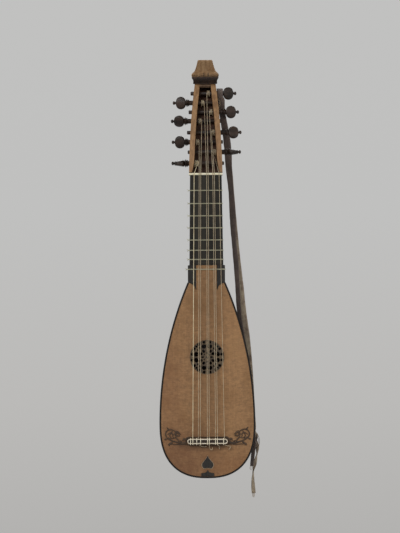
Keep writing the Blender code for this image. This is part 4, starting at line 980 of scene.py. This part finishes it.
def finial_moulding():
    """The dark flared moulding."""
    bm = square_stack(
        MOULDING_PROFILE,
        MOULDING_HEIGHT,
        lambda value: MOULDING_HALF + MOULDING_FLARE * value,
        lambda value: END_REACH + MOULDING_LIP + MOULDING_FLARE * value,
        GAP,
    )
    return piece(bm, "flared_moulding", MOULDING_WOOD, ["finial_moulding"], crisp=25.0)


def finial_cap():
    """The light cap."""
    low_reach = END_REACH + CAP_PROUD
    top_reach = CAP_TOP_DEPTH / 2
    bm = square_stack(
        CAP_PROFILE,
        CAP_HEIGHT,
        lambda value: CAP_TOP_HALF + (CAP_HALF - CAP_TOP_HALF) * value,
        lambda value: top_reach + (low_reach - top_reach) * value,
        2 * GAP + MOULDING_HEIGHT,
    )
    return piece(bm, "carved_cap", CAP_WOOD, ["finial_cap"], crisp=48.0)


finial_moulding()
cap = finial_cap()
print("cap has", len(cap.data.polygons), "faces")

# %% [markdown]
# ## Pegs
# A tuning peg is turned on a lathe: a tapered shank through both cheeks, two rings, a round head and a small
# pip. The head is then pared flat on two sides to give the fingers a grip. So each peg is a profile spun
# about the X axis, whose head is pressed flat afterwards. It rides on its own CAD body, so it turns. Each
# peg is pushed in to its own depth and stands at its own angle.

# %% Eight turned pegs
PEG_STATIONS = (0.0144, 0.0298, 0.0441, 0.0576, 0.0740, 0.0868, 0.1003, 0.1138)
PEG_TURNS = (90.0, 90.0, 15.0, -20.0, 35.0, 0.0, 0.0, 0.0)
PEG_BEHIND = 0.0095  # axis behind the front edge at both ends of the pegbox
PEG_BOW = 0.0040  # and how much further in the middle
PEG_RADIUS = 0.00305
PEG_TAPER = 0.017
PEG_TIPS = (0.0024, 0.0024, 0.0024, 0.0046, 0.0024, 0.0046, 0.0024, 0.0046)  # past the far cheek
PEG_SHOWS = (0.0016, 0.0036, 0.0024, 0.0060, 0.0052, 0.0052, 0.0050, 0.0046)  # bare outside the near one
COLLAR_LENGTH = 0.0040
HEAD_LENGTH = 0.0127
HEAD_HALF = 0.0080
HEAD_THICK = (0.0044, 0.0025)  # half thickness at the collar and at the pip
BOX_HALF = (0.0210, -0.0025, -0.0054)  # at the nut, then by the share along and by its square
BOX_DEPTH = 0.0220  # at the nut
COLLAR = (  # distance out from the bare shank, radius
    (-0.0008, 0.00310), (-0.0001, 0.00315), (0.0001, 0.0041), (0.0006, 0.0044), (0.0011, 0.0041),
    (0.0013, 0.0035), (0.0018, 0.0035), (0.0020, 0.0046), (0.0026, 0.0050), (0.0032, 0.0047),
    (0.0034, 0.0038), (0.0039, 0.0035),
)
PIP = (  # distance out from the head, radius
    (0.0001, 0.0020), (0.0004, 0.0013), (0.0009, 0.0013), (0.0012, 0.0020), (0.0019, 0.0023),
    (0.0028, 0.0023), (0.0034, 0.0018), (0.0038, 0.0010), (0.0040, 0.0),
)


def box_half(along):
    """Half the outer width of the pegbox."""
    share = along / ARC_LENGTH
    return BOX_HALF[0] + BOX_HALF[1] * share + BOX_HALF[2] * share**2


def box_depth(along):
    """Depth of the pegbox, square to its front edge."""
    return BOX_DEPTH - (BOX_DEPTH - TOP_DEPTH) * (along / ARC_LENGTH) ** 2


def peg_side(number):
    """Odd pegs enter from the left, even ones from the right."""
    return -1 if number % 2 else 1


def peg_place(number):
    """The point of a peg's axis on the centre line."""
    along = PEG_STATIONS[number - 1]
    return box_point(along, PEG_BEHIND + PEG_BOW * math.sin(math.pi * along / ARC_LENGTH))


def turned_peg(number):
    """Spins one peg's profile and presses its head flat."""
    side = peg_side(number)
    face = box_half(PEG_STATIONS[number - 1])
    show = PEG_SHOWS[number - 1]
    head_in = show + COLLAR_LENGTH
    tip = 2 * face + PEG_TIPS[number - 1]
    tip_radius = PEG_RADIUS - PEG_TAPER * tip
    profile = [(-tip, 0.0), (-tip, tip_radius * 0.7)]
    profile += [(0.0004 - tip, tip_radius * 0.93), (0.0010 - tip, tip_radius), (0.0, PEG_RADIUS)]
    profile += [(show + out, radius) for out, radius in COLLAR]
    for degrees in range(168, 11, -12):
        turn = math.radians(degrees)
        out = head_in + HEAD_LENGTH / 2 * (1 + math.cos(turn))
        profile.append((out, HEAD_HALF * math.sin(turn) ** 0.75))
    profile += [(head_in + HEAD_LENGTH + out, radius) for out, radius in PIP]
    bm = bmesh.new()
    chain = [bm.verts.new((out, 0.0, radius)) for out, radius in profile]
    edges = [bm.edges.new(pair) for pair in zip(chain, chain[1:])]
    full = {"angle": 2 * math.pi, "steps": 32, "use_merge": True}
    bmesh.ops.spin(bm, geom=chain + edges, axis=(1, 0, 0), cent=(0, 0, 0), **full)
    bmesh.ops.remove_doubles(bm, verts=bm.verts, dist=WELD)
    for vert in bm.verts:
        share = (vert.co.x - head_in) / HEAD_LENGTH
        radius = math.hypot(vert.co.y, vert.co.z)
        if 0.0 < share < 1.0 and radius > 0.0001:
            thick = min(HEAD_THICK[0] + (HEAD_THICK[1] - HEAD_THICK[0]) * share, radius)
            level = vert.co.y / radius
            vert.co.y = math.copysign(thick * abs(level) ** 0.6, level)
    for vert in bm.verts:
        vert.co.x = side * (face + vert.co.x)
    turned = Matrix.Rotation(math.radians(PEG_TURNS[number - 1]), 3, "X")
    bmesh.ops.rotate(bm, verts=bm.verts, cent=(0, 0, 0), matrix=turned)
    bmesh.ops.translate(bm, vec=peg_place(number), verts=bm.verts)
    bmesh.ops.recalc_face_normals(bm, faces=bm.faces)
    body = f"peg_{number}"
    return piece(bm, f"turned_{body}", PEG_WOOD, [body], body=body, crisp=50.0)


for number in range(1, len(PEG_STATIONS) + 1):
    peg = turned_peg(number)
print("a peg has", len(peg.data.polygons), "faces")

# %% The bed and the end block that close the pegbox
BED_INSET = 0.0015  # from the outer faces of the cheeks
BED_DEPTH = 0.0012  # in front of the back plate's outer face
BED_THICK = 0.0006
BED_STEPS = 24
BLOCK_ASIDE = 0.0065  # from the outer faces of the cheeks to the block
BLOCK_HIGH = 0.0024
BLOCK_DEEP = (0.0006, 0.0042)


def pegbox_bed():
    """A thin strip, dark with painted shade, let into both cheeks and the back plate, so that no light passes
    their joints.
    """
    bm = bmesh.new()
    rows = []
    for i in range(BED_STEPS + 1):
        along = ARC_LENGTH * i / BED_STEPS
        half = box_half(along) - BED_INSET
        depth = box_depth(along) - BED_DEPTH
        rows.append([box_point(along, depth, x) for x in (-half, half)])
    half = box_half(ARC_LENGTH) - BED_INSET
    top = end_point(box_depth(ARC_LENGTH) - BED_DEPTH) + Vector((0.0, 0.0, BED_INSET))
    rows[-1] = [top + Vector((x, 0.0, 0.0)) for x in (-half, half)]
    verts = [[bm.verts.new(place) for place in row] for row in rows]
    for low, high in zip(verts, verts[1:]):
        bm.faces.new((low[0], low[1], high[1], high[0]))
    bmesh.ops.recalc_face_normals(bm, faces=bm.faces)
    bmesh.ops.solidify(bm, geom=bm.faces[:], thickness=BED_THICK)
    return piece(bm, "pegbox_glue_bed", SHADED_WOOD, crisp=40.0)


def end_block():
    """The small block between the cheeks at their upper end, just behind their front edges. Its wood is
    darkened with painted shade from the moulding.
    """
    bm = bmesh.new()
    half = box_half(ARC_LENGTH) - BLOCK_ASIDE
    for behind in BLOCK_DEEP:
        for x in (-half, half):
            bm.verts.new(end_point(behind, x))
            bm.verts.new(box_point(ARC_LENGTH - BLOCK_HIGH, behind, x))
    bmesh.ops.convex_hull(bm, input=bm.verts)
    bmesh.ops.recalc_face_normals(bm, faces=bm.faces)
    return piece(bm, "pegbox_end_block", BLOCK_SHADED_WOOD, crisp=30.0)


pegbox_bed()
end_block()
print("pegbox joints are closed from behind")

# %% [markdown]
# ## Gut strings
# Eight gut strings run from the bridge over the nut to their pegs, as one single string, three pairs and one
# single string. Each is wound on its own peg in close turns. At the bridge it passes through the bar, comes
# back over the rim and is tied, and four spare ends show below. The frets are gut too, tied round the neck.

# %% Strings, their windings and their ties
NUT_COURSES = (-0.0146, -0.0073, 0.0020, 0.0098, 0.0166)
BRIDGE_COURSES = (-0.0184, -0.0102, 0.0010, 0.0113, 0.0211)
NUT_PAIR = 0.0020
BRIDGE_PAIR = 0.0024
BASS_STRING = 0.00090
THIN_STRING = 0.00065
STRING_RISE = 0.0046
STRING_PEGS = (1, 3, 5, 7, 8, 6, 4, 2)
PEG_COURSE_X = (-0.0089, -0.0080, -0.0046, -0.0014, 0.0019, 0.0049, 0.0074, 0.0088)
TURNS = 4.4
TURN_POINTS = 20
TURN_SPACE = 0.00022
LAST_POINTS = 4  # of a winding, which stand off by a share of its radius
LAST_LIFT = 0.35
TIE_ASIDE = (  # of each string's loops over the bridge, from the string's own place
    (-0.0028, 0.0001), (-0.0021,), (0.0003,), (0.0002,), (0.0001,), (-0.0001,), (-0.0002,), (-0.0010,),
)
TIE_THICK = 0.00095
TIE_PAST = 0.0006  # from the bridge's long edges to where strings and loops enter the bar
STRING_ENDS = {  # cut ends below the bridge: string, then places in millimetres from its middle
    2: ((-10.4, -4.6, -4.2), (-7.5, -3.0, -6.0), (-4.4, -2.2, -6.6), (-1.3, -2.6, -6.4)),
    4: ((2.2, -4.6, -4.2), (2.4, -3.4, -7.4), (3.8, -2.8, -10.2), (5.8, -2.8, -10.0), (6.2, -3.0, -7.4)),
    6: ((12.5, -4.6, -4.2), (14.6, -3.0, -6.0), (15.0, -2.4, -8.2), (14.4, -2.2, -9.6)),
    8: ((21.1, -4.6, -4.2), (24.8, -3.0, -5.6), (28.4, -2.6, -6.4), (28.0, -2.4, -8.6), (26.4, -2.6, -10.4)),
}


def string_table():
    """Each string from left to right: place at the nut, place at the bridge, diameter, peg."""
    rows = []
    for course, (at_nut, at_bridge) in enumerate(zip(NUT_COURSES, BRIDGE_COURSES)):
        single = course in (0, len(NUT_COURSES) - 1)
        for half in (0,) if single else (-1, 1):
            diameter = BASS_STRING if course == 0 else THIN_STRING
            rows.append((at_nut + half * NUT_PAIR / 2, at_bridge + half * BRIDGE_PAIR / 2, diameter))
    return [(*row, peg) for row, peg in zip(rows, STRING_PEGS)]


def sounding_run(index, row):
    """From the bridge over the nut and round the peg."""
    at_nut, at_bridge, diameter, number = row
    radius = diameter / 2
    nut_y = -NUT_RISE - GAP - radius
    top_z = -NUT_SEAT - NUT_THICKNESS * 0.25
    low_z = -NUT_SEAT - NUT_THICKNESS * 0.75
    centre = peg_place(number)
    start_x = PEG_COURSE_X[index]
    away = -1 if start_x < 0 else 1
    inwards = box_half(PEG_STATIONS[number - 1]) - peg_side(number) * start_x
    wind = PEG_RADIUS - PEG_TAPER * inwards + GAP + radius
    reach = math.hypot(centre.y - nut_y, centre.z - top_z)
    heading = math.atan2(centre.y - nut_y, centre.z - top_z) - math.asin(wind / reach)
    points = [
        Vector((at_bridge, -STRING_RISE, BRIDGE_TOP_Z - TIE_PAST)),
        Vector((at_nut, nut_y, low_z)),
        Vector((at_nut, nut_y, top_z)),
    ]
    pitch = diameter + TURN_SPACE
    spread = 1.0 / math.cos(math.pi / TURN_POINTS)
    count = int(TURNS * TURN_POINTS)
    for i in range(count + 1):
        turn = heading - math.pi / 2 - 2 * math.pi * i / TURN_POINTS
        out = wind * spread * (1.0 + LAST_LIFT * max(0.0, (i - count + LAST_POINTS) / LAST_POINTS))
        x = start_x + away * pitch * i / TURN_POINTS
        points.append(Vector((x, centre.y + out * math.sin(turn), centre.z + out * math.cos(turn))))
    return points


def tie_run(x, radius):
    """The loop that comes back over the bridge's rim."""
    over = -2 * GAP - BRIDGE_HEIGHT - RIM_HEIGHT - radius
    low_z = BRIDGE_TOP_Z - BRIDGE_WIDTH
    route = (
        (x, -STRING_RISE, BRIDGE_TOP_Z + TIE_PAST),
        (x, over + 0.0004, BRIDGE_TOP_Z + 0.0004),
        (x, over, BRIDGE_TOP_Z - 0.0010),
        (x, over, low_z + 0.0010),
        (x, over + 0.0004, low_z - 0.0004),
        (x, -STRING_RISE, low_z - TIE_PAST),
        (x, -STRING_RISE, low_z + TIE_PAST),
    )
    return smooth_line(route, 4)


ties = []
for index, row in enumerate(string_table()):
    number = index + 1
    runs = [(sounding_run(index, row), False, None)]
    for aside in TIE_ASIDE[index]:
        ties.append((tie_run(row[1] + aside, row[2] / 2), False, None))
    if number in STRING_ENDS:
        route = [(x / 1000, y / 1000, BRIDGE_Z + z / 1000) for x, y, z in STRING_ENDS[number]]
        runs.append((smooth_line(route, 5), False, None))
    bm = tubes(runs, row[2], sides=2)
    gut = GUT if number == 1 else FINE_GUT
    piece(bm, f"twisted_string_{number}", gut, [f"string_{number}"], crisp=70.0)
piece(tubes(ties, TIE_THICK, sides=2), "tied_loops", TIED_GUT, crisp=70.0)
print("strings:", [round(row[2] * 1000, 2) for row in string_table()], "mm thick")

# %% Tied frets
FRET_RULE = 17.0 / 18.0
FRET_DRIFT = (0.0021, 0.0011, 0.0001, -0.0003, 0.0002, -0.0008, -0.0024, -0.0024)
FRET_STRAND = 0.00058
FRET_SPACE = 0.00032  # half the distance between the two strands
FRET_STEPS = 24  # round the back of the neck
FRET_SLACK = 1.1  # round the back, a strand's clearance as a share of the one in front
FRET_KNOT = ((0.0, -0.0004), (-0.0004, 0.0006), (-0.0003, 0.0018), (0.0, 0.0028))  # aside, back
FRET_KNOT_OUT = 0.0008  # from the side of the neck
FRET_TAILS = ((0.0012, 0.0026), (-0.0014, 0.0020))  # rise and reach of the two ends


def fret_loop(z, spread):
    """One strand of gut round the neck or its foot."""
    clear = GAP + FRET_STRAND / 2
    corner = clear / math.sqrt(2)
    share = min(-z / NECK_LENGTH, 1.0)
    half = NECK_HALF_NUT + (NECK_HALF_BODY - NECK_HALF_NUT) * share
    back = NECK_DEPTH_NUT + (NECK_DEPTH_BODY - NECK_DEPTH_NUT) * share
    front = BOARD_THICKNESS + GAP
    if z < -NECK_LENGTH:
        half, back, front = FOOT_HALF, BOWL_Y + FOOT_HALF * BOWL_STRETCH, BOWL_Y
    level = z + spread
    path = [(half - corner, -clear, level), (half + corner, -corner, level)]
    for i in range(FRET_STEPS + 1):
        turn = math.pi * i / FRET_STEPS
        y = front + (back + clear * FRET_SLACK - front) * math.sin(turn) ** NECK_FULLNESS
        path.append(((half + clear * FRET_SLACK) * math.cos(turn), y, level))
    path += [(-half - corner, -corner, level), (corner - half, -clear, level)]
    return path, half


def tied_fret(number):
    """Two strands and a knot with its burnt ends, at the left of the neck."""
    along = SCALE_LENGTH * (1 - FRET_RULE**number) + FRET_DRIFT[number - 1]
    z = -NUT_SEAT - NUT_THICKNESS / 2 - along
    runs = []
    for spread in (-FRET_SPACE, FRET_SPACE):
        path, half = fret_loop(z, spread)
        runs.append((path, True, None))
    side = -half - FRET_KNOT_OUT
    knot = [(side + aside, back, z) for aside, back in FRET_KNOT]
    runs.append((smooth_line(knot, 3), False, [1.0 + 1.3 * math.sin(math.pi * i / 9) for i in range(10)]))
    for lift, reach in FRET_TAILS:
        bend = (side - reach * 0.5, 0.0002, z + lift * 0.4)
        end = ((side, 0.0010, z), bend, (side - reach, -0.0002, z + lift))
        runs.append((smooth_line(end, 3), False, None))
    bm = tubes(runs, FRET_STRAND, sides=1)
    return piece(bm, f"tied_fret_{number}", FRET_GUT, [f"fret_{number}"], crisp=70.0)


for number in range(1, len(FRET_DRIFT) + 1):
    tied_fret(number)
print(len(FRET_DRIFT), "frets are tied in two strands of", FRET_STRAND * 1000, "mm")

# %% [markdown]
# ## The old ribbon
# A woven ribbon is doubled over the shank of the top right peg and hangs down beside the body. Its dark face
# is in front and its paler, stained reverse behind. Each strand is a grid whose rows follow a smooth route
# and turn about it. Across, it is folded over lengthwise, and at the lower end the pale strand twists to a
# cord. The weave is drawn in the ribbon's own UV, in metres, so the threads follow every fold.

# %% Woven cloth
THREAD_PITCH = 0.00045


def woven(name, tones, blot_mm, worn_share):
    """tones are the cloth, its stains, its worn places and the darker threads of its weave."""
    material, tree, shader = finish(name, 0.88, Sheen_Weight=0.2, Sheen_Roughness=0.6)
    place = add(tree, "TexCoord").outputs["UV"]
    parts = add(tree, "SeparateXYZ", {0: place}).outputs
    waves = []
    for part in (parts[0], parts[1]):
        waves.append(worked(tree, "SINE", worked(tree, "MULTIPLY", part, 2 * math.pi / THREAD_PITCH)))
    weave = worked(tree, "MULTIPLY", *waves)
    blots = speckle(tree, stretched(tree, place, (1.0, 0.35, 1.0)), 1000.0 / blot_mm, 5.0, 0.68)
    worn = speckle(tree, place, 1600.0 / blot_mm, 4.0, 0.7)
    fuzz = speckle(tree, place, 2600.0)
    base = mixed(tree, ranged(tree, blots, 0.42, 0.60), colour(tones[0]), colour(tones[1]))
    base = mixed(tree, ranged(tree, worn, 0.55, 0.68, 0.0, worn_share), base, colour(tones[2]))
    base = mixed(tree, ranged(tree, weave, -0.8, 0.8, 0.0, 0.35), base, colour(tones[3]))
    base = mixed(tree, ranged(tree, fuzz, 0.5, 0.8, 0.0, 0.3), base, colour(tones[2]))
    tree.links.new(base, shader.inputs["Base Color"])
    bumped(tree, shader, worked(tree, "ADD", weave, fuzz), 0.00012)
    return material


RIBBON_DARK = woven("dark_silk_ribbon", ("#5C4A40", "#43342C", "#82705F", "#382B25"), 7.0, 0.35)
RIBBON_LIGHT = woven("pale_silk_reverse", ("#A6967C", "#6B5646", "#C4B79F", "#7E6A56"), 5.5, 0.55)
print("ribbon finishes:", RIBBON_DARK.name, RIBBON_LIGHT.name)

# %% Two strands of ribbon
RIBBON_FLAT = 0.0100
RIBBON_CLOTH = 0.00045
FOLD_DEPTH = 0.0011
RIBBON_SECTION = (  # across as a share of half the width, depth as a share of the fold
    (-0.10, -1.0), (0.35, -1.05), (0.75, -0.95), (0.96, -0.65), (1.0, -0.35), (0.92, -0.08),
    (0.60, 0.05), (0.20, 0.0), (-0.25, -0.06), (-0.65, 0.0), (-1.0, -0.15),
)
TOP_PEG = len(PEG_STATIONS)
STRAP_REACH = 0.0061  # of the cloth from the peg's axis
STRAP_IN = 0.0044  # of its middle from the cheek
SWAY = (55, 9)  # how quickly a ribbon's turn wanders along it, and by how many degrees
RUFFLE = (260, 0.00022)  # the same for small ruffles, in metres
DARK_OVER = ((55, 0.0076), (20, 0.0076), (-15, 0.0076), (-50, 0.0076), (-85, 0.0070))
DARK_ROUTE = (  # place, turn about its own line in degrees, width
    (0.0190, 0.0453, 0.0945, 0, 0.0058), (0.0214, 0.0455, 0.0910, 10, 0.0052),
    (0.0217, 0.0458, 0.0870, 20, 0.0050), (0.0214, 0.0462, 0.0815, 10, 0.0056),
    (0.0209, 0.0464, 0.0755, 0, 0.0070), (0.0222, 0.0463, 0.0670, 0, 0.0076),
    (0.0258, 0.0458, 0.0460, 0, 0.0084), (0.0280, 0.0450, 0.0254, -8, 0.0090),
    (0.0290, 0.0438, 0.0029, 10, 0.0076), (0.0316, 0.0420, -0.0246, 25, 0.0068),
    (0.0333, 0.0400, -0.0546, 10, 0.0076), (0.0344, 0.0380, -0.0846, 35, 0.0062),
    (0.0371, 0.0360, -0.1146, 20, 0.0064), (0.0387, 0.0345, -0.1446, 25, 0.0056),
    (0.0402, 0.0335, -0.1740, 40, 0.0062), (0.0440, 0.0330, -0.2050, 30, 0.0065),
    (0.0490, 0.0340, -0.2350, 20, 0.0065), (0.0520, 0.0362, -0.2650, 15, 0.0065),
    (0.0540, 0.0375, -0.2900, 15, 0.0065), (0.0556, 0.0375, -0.3150, 20, 0.0062),
    (0.0576, 0.0350, -0.3400, 35, 0.0058), (0.0546, 0.0310, -0.3680, 50, 0.0052),
)
LIGHT_OVER = ((70, 0.0074), (95, 0.0074))
LIGHT_ROUTE = (
    (0.0190, 0.0575, 0.0900, 0, 0.0074), (0.0210, 0.0573, 0.0750, 10, 0.0074),
    (0.0250, 0.0568, 0.0520, 20, 0.0074), (0.0280, 0.0550, 0.0250, 25, 0.0070),
    (0.0310, 0.0520, -0.0150, 10, 0.0070), (0.0340, 0.0490, -0.0550, 0, 0.0070),
    (0.0372, 0.0455, -0.0850, 0, 0.0060), (0.0400, 0.0430, -0.1146, 0, 0.0060),
    (0.0432, 0.0410, -0.1446, 0, 0.0064), (0.0459, 0.0395, -0.1740, 10, 0.0068),
    (0.0497, 0.0385, -0.2050, 5, 0.0074), (0.0524, 0.0390, -0.2350, 5, 0.0074),
    (0.0545, 0.0405, -0.2650, 10, 0.0070), (0.0562, 0.0415, -0.2950, 20, 0.0064),
    (0.0585, 0.0400, -0.3200, 60, 0.0056), (0.0608, 0.0382, -0.3300, 190, 0.0050),
    (0.0622, 0.0370, -0.3400, 320, 0.0046), (0.0614, 0.0358, -0.3520, 440, 0.0042),
    (0.0592, 0.0347, -0.3650, 550, 0.0040), (0.0570, 0.0341, -0.3780, 650, 0.0038),
    (0.0566, 0.0337, -0.3900, 700, 0.0044), (0.0572, 0.0335, -0.4020, 740, 0.0048),
)
THREAD_THICK = 0.0006
THREAD_ROUTES = (  # places in millimetres
    (
        (58.6, 38.6, -325.4), (62.4, 37.4, -328.4), (65.0, 36.6, -334.4), (64.6, 36.0, -340.8),
        (61.2, 35.2, -347.6),
    ),
    ((59.8, 37.8, -328.6), (63.2, 36.2, -333.0), (63.4, 35.4, -339.0), (61.0, 35.0, -344.0)),
    ((57.2, 34.6, -357.0), (59.4, 34.0, -362.4), (58.6, 33.4, -368.4), (56.6, 33.6, -373.0)),
    ((57.6, 33.6, -399.0), (58.4, 33.2, -402.6), (58.2, 33.2, -406.0)),
    ((56.4, 33.6, -399.6), (56.0, 33.4, -403.4), (56.4, 33.4, -406.6)),
    ((57.0, 33.5, -400.6), (57.2, 33.0, -404.0), (57.6, 33.0, -407.4)),
    ((54.0, 31.0, -366.8), (53.0, 30.8, -370.2), (53.6, 30.6, -372.6)),
    ((55.0, 31.2, -367.0), (55.6, 31.0, -369.8), (55.0, 30.8, -373.0)),
)


def over_peg(rows):
    """Rows of a ribbon that lies round the collar side of the top right peg."""
    centre = peg_place(TOP_PEG)
    x = box_half(PEG_STATIONS[-1]) + STRAP_IN
    placed = []
    for degrees, width in rows:
        turn = math.radians(degrees)
        y = centre.y + STRAP_REACH * math.sin(turn)
        placed.append((x, y, centre.z + STRAP_REACH * math.cos(turn), 0, width))
    return placed


def hung_ribbon(name, route, material, stands_for):
    """Lays a folded grid along a route of place, turn and width; returns it with its length."""
    line = smooth_line(route, 10)
    last = len(line) - 1
    columns = len(RIBBON_SECTION) - 1
    lengths = [0.0]
    for before, after in zip(line, line[1:]):
        lengths.append(lengths[-1] + (after.xyz - before.xyz).length)
    bm = bmesh.new()
    bmesh.ops.create_grid(bm, x_segments=columns, y_segments=last, size=1.0)
    places = {}
    for vert in bm.verts:
        column = round((vert.co.x + 1) / 2 * columns)
        row = round((vert.co.y + 1) / 2 * last)
        point = line[row]
        run = (line[min(row + 1, last)].xyz - line[max(row - 1, 0)].xyz).normalized()
        across = Vector((1.0, 0.0, 0.0))
        across = (across - run * across.dot(run)).normalized()
        normal = run.cross(across)
        sway = noise.noise(Vector((lengths[row] * SWAY[0], len(name), 0.3)))
        turn = math.radians(point[3] + SWAY[1] * sway)
        flat = across * math.cos(turn) + normal * math.sin(turn)
        thin = normal * math.cos(turn) - across * math.sin(turn)
        share, depth = RIBBON_SECTION[column]
        ruffle = noise.noise(Vector((lengths[row] * RUFFLE[0], share * 1.5, len(name))))
        half = point[4] / 2 * (1 + 0.05 * ruffle)
        vert.co = point.xyz + flat * half * share + thin * (depth * FOLD_DEPTH + RUFFLE[1] * ruffle)
        places[vert] = (column / columns * RIBBON_FLAT, lengths[row])
    layer = bm.loops.layers.uv.new("ribbon")
    for face in bm.faces:
        for loop in face.loops:
            loop[layer].uv = places[loop.vert]
    made = piece(bm, name, material, [stands_for], crisp=80.0)
    cloth = made.modifiers.new("cloth", "SOLIDIFY")
    cloth.thickness = RIBBON_CLOTH
    cloth.offset = 0.0
    return made, lengths[-1]


def loose_threads():
    """Frayed loops and ends of both strands, as fine tubes."""
    runs = []
    for route in THREAD_ROUTES:
        runs.append((smooth_line([[value / 1000 for value in place] for place in route], 6), False, None))
    return piece(tubes(runs, THREAD_THICK, sides=1), "loose_threads", THREAD, crisp=80.0)


dark, dark_length = hung_ribbon(
    "ribbon_dark", over_peg(DARK_OVER) + list(DARK_ROUTE), RIBBON_DARK, "strap_dark"
)
light, light_length = hung_ribbon(
    "ribbon_light", over_peg(LIGHT_OVER) + list(LIGHT_ROUTE), RIBBON_LIGHT, "strap_light"
)
THREAD = cloudy("frayed_thread", ("#8F7D66", "#5E4B3D", "#B3A58C"), 3.0, 0.9, 0.05)
threads = loose_threads()
print("strands in metres:", round(dark_length, 3), round(light_length, 3))
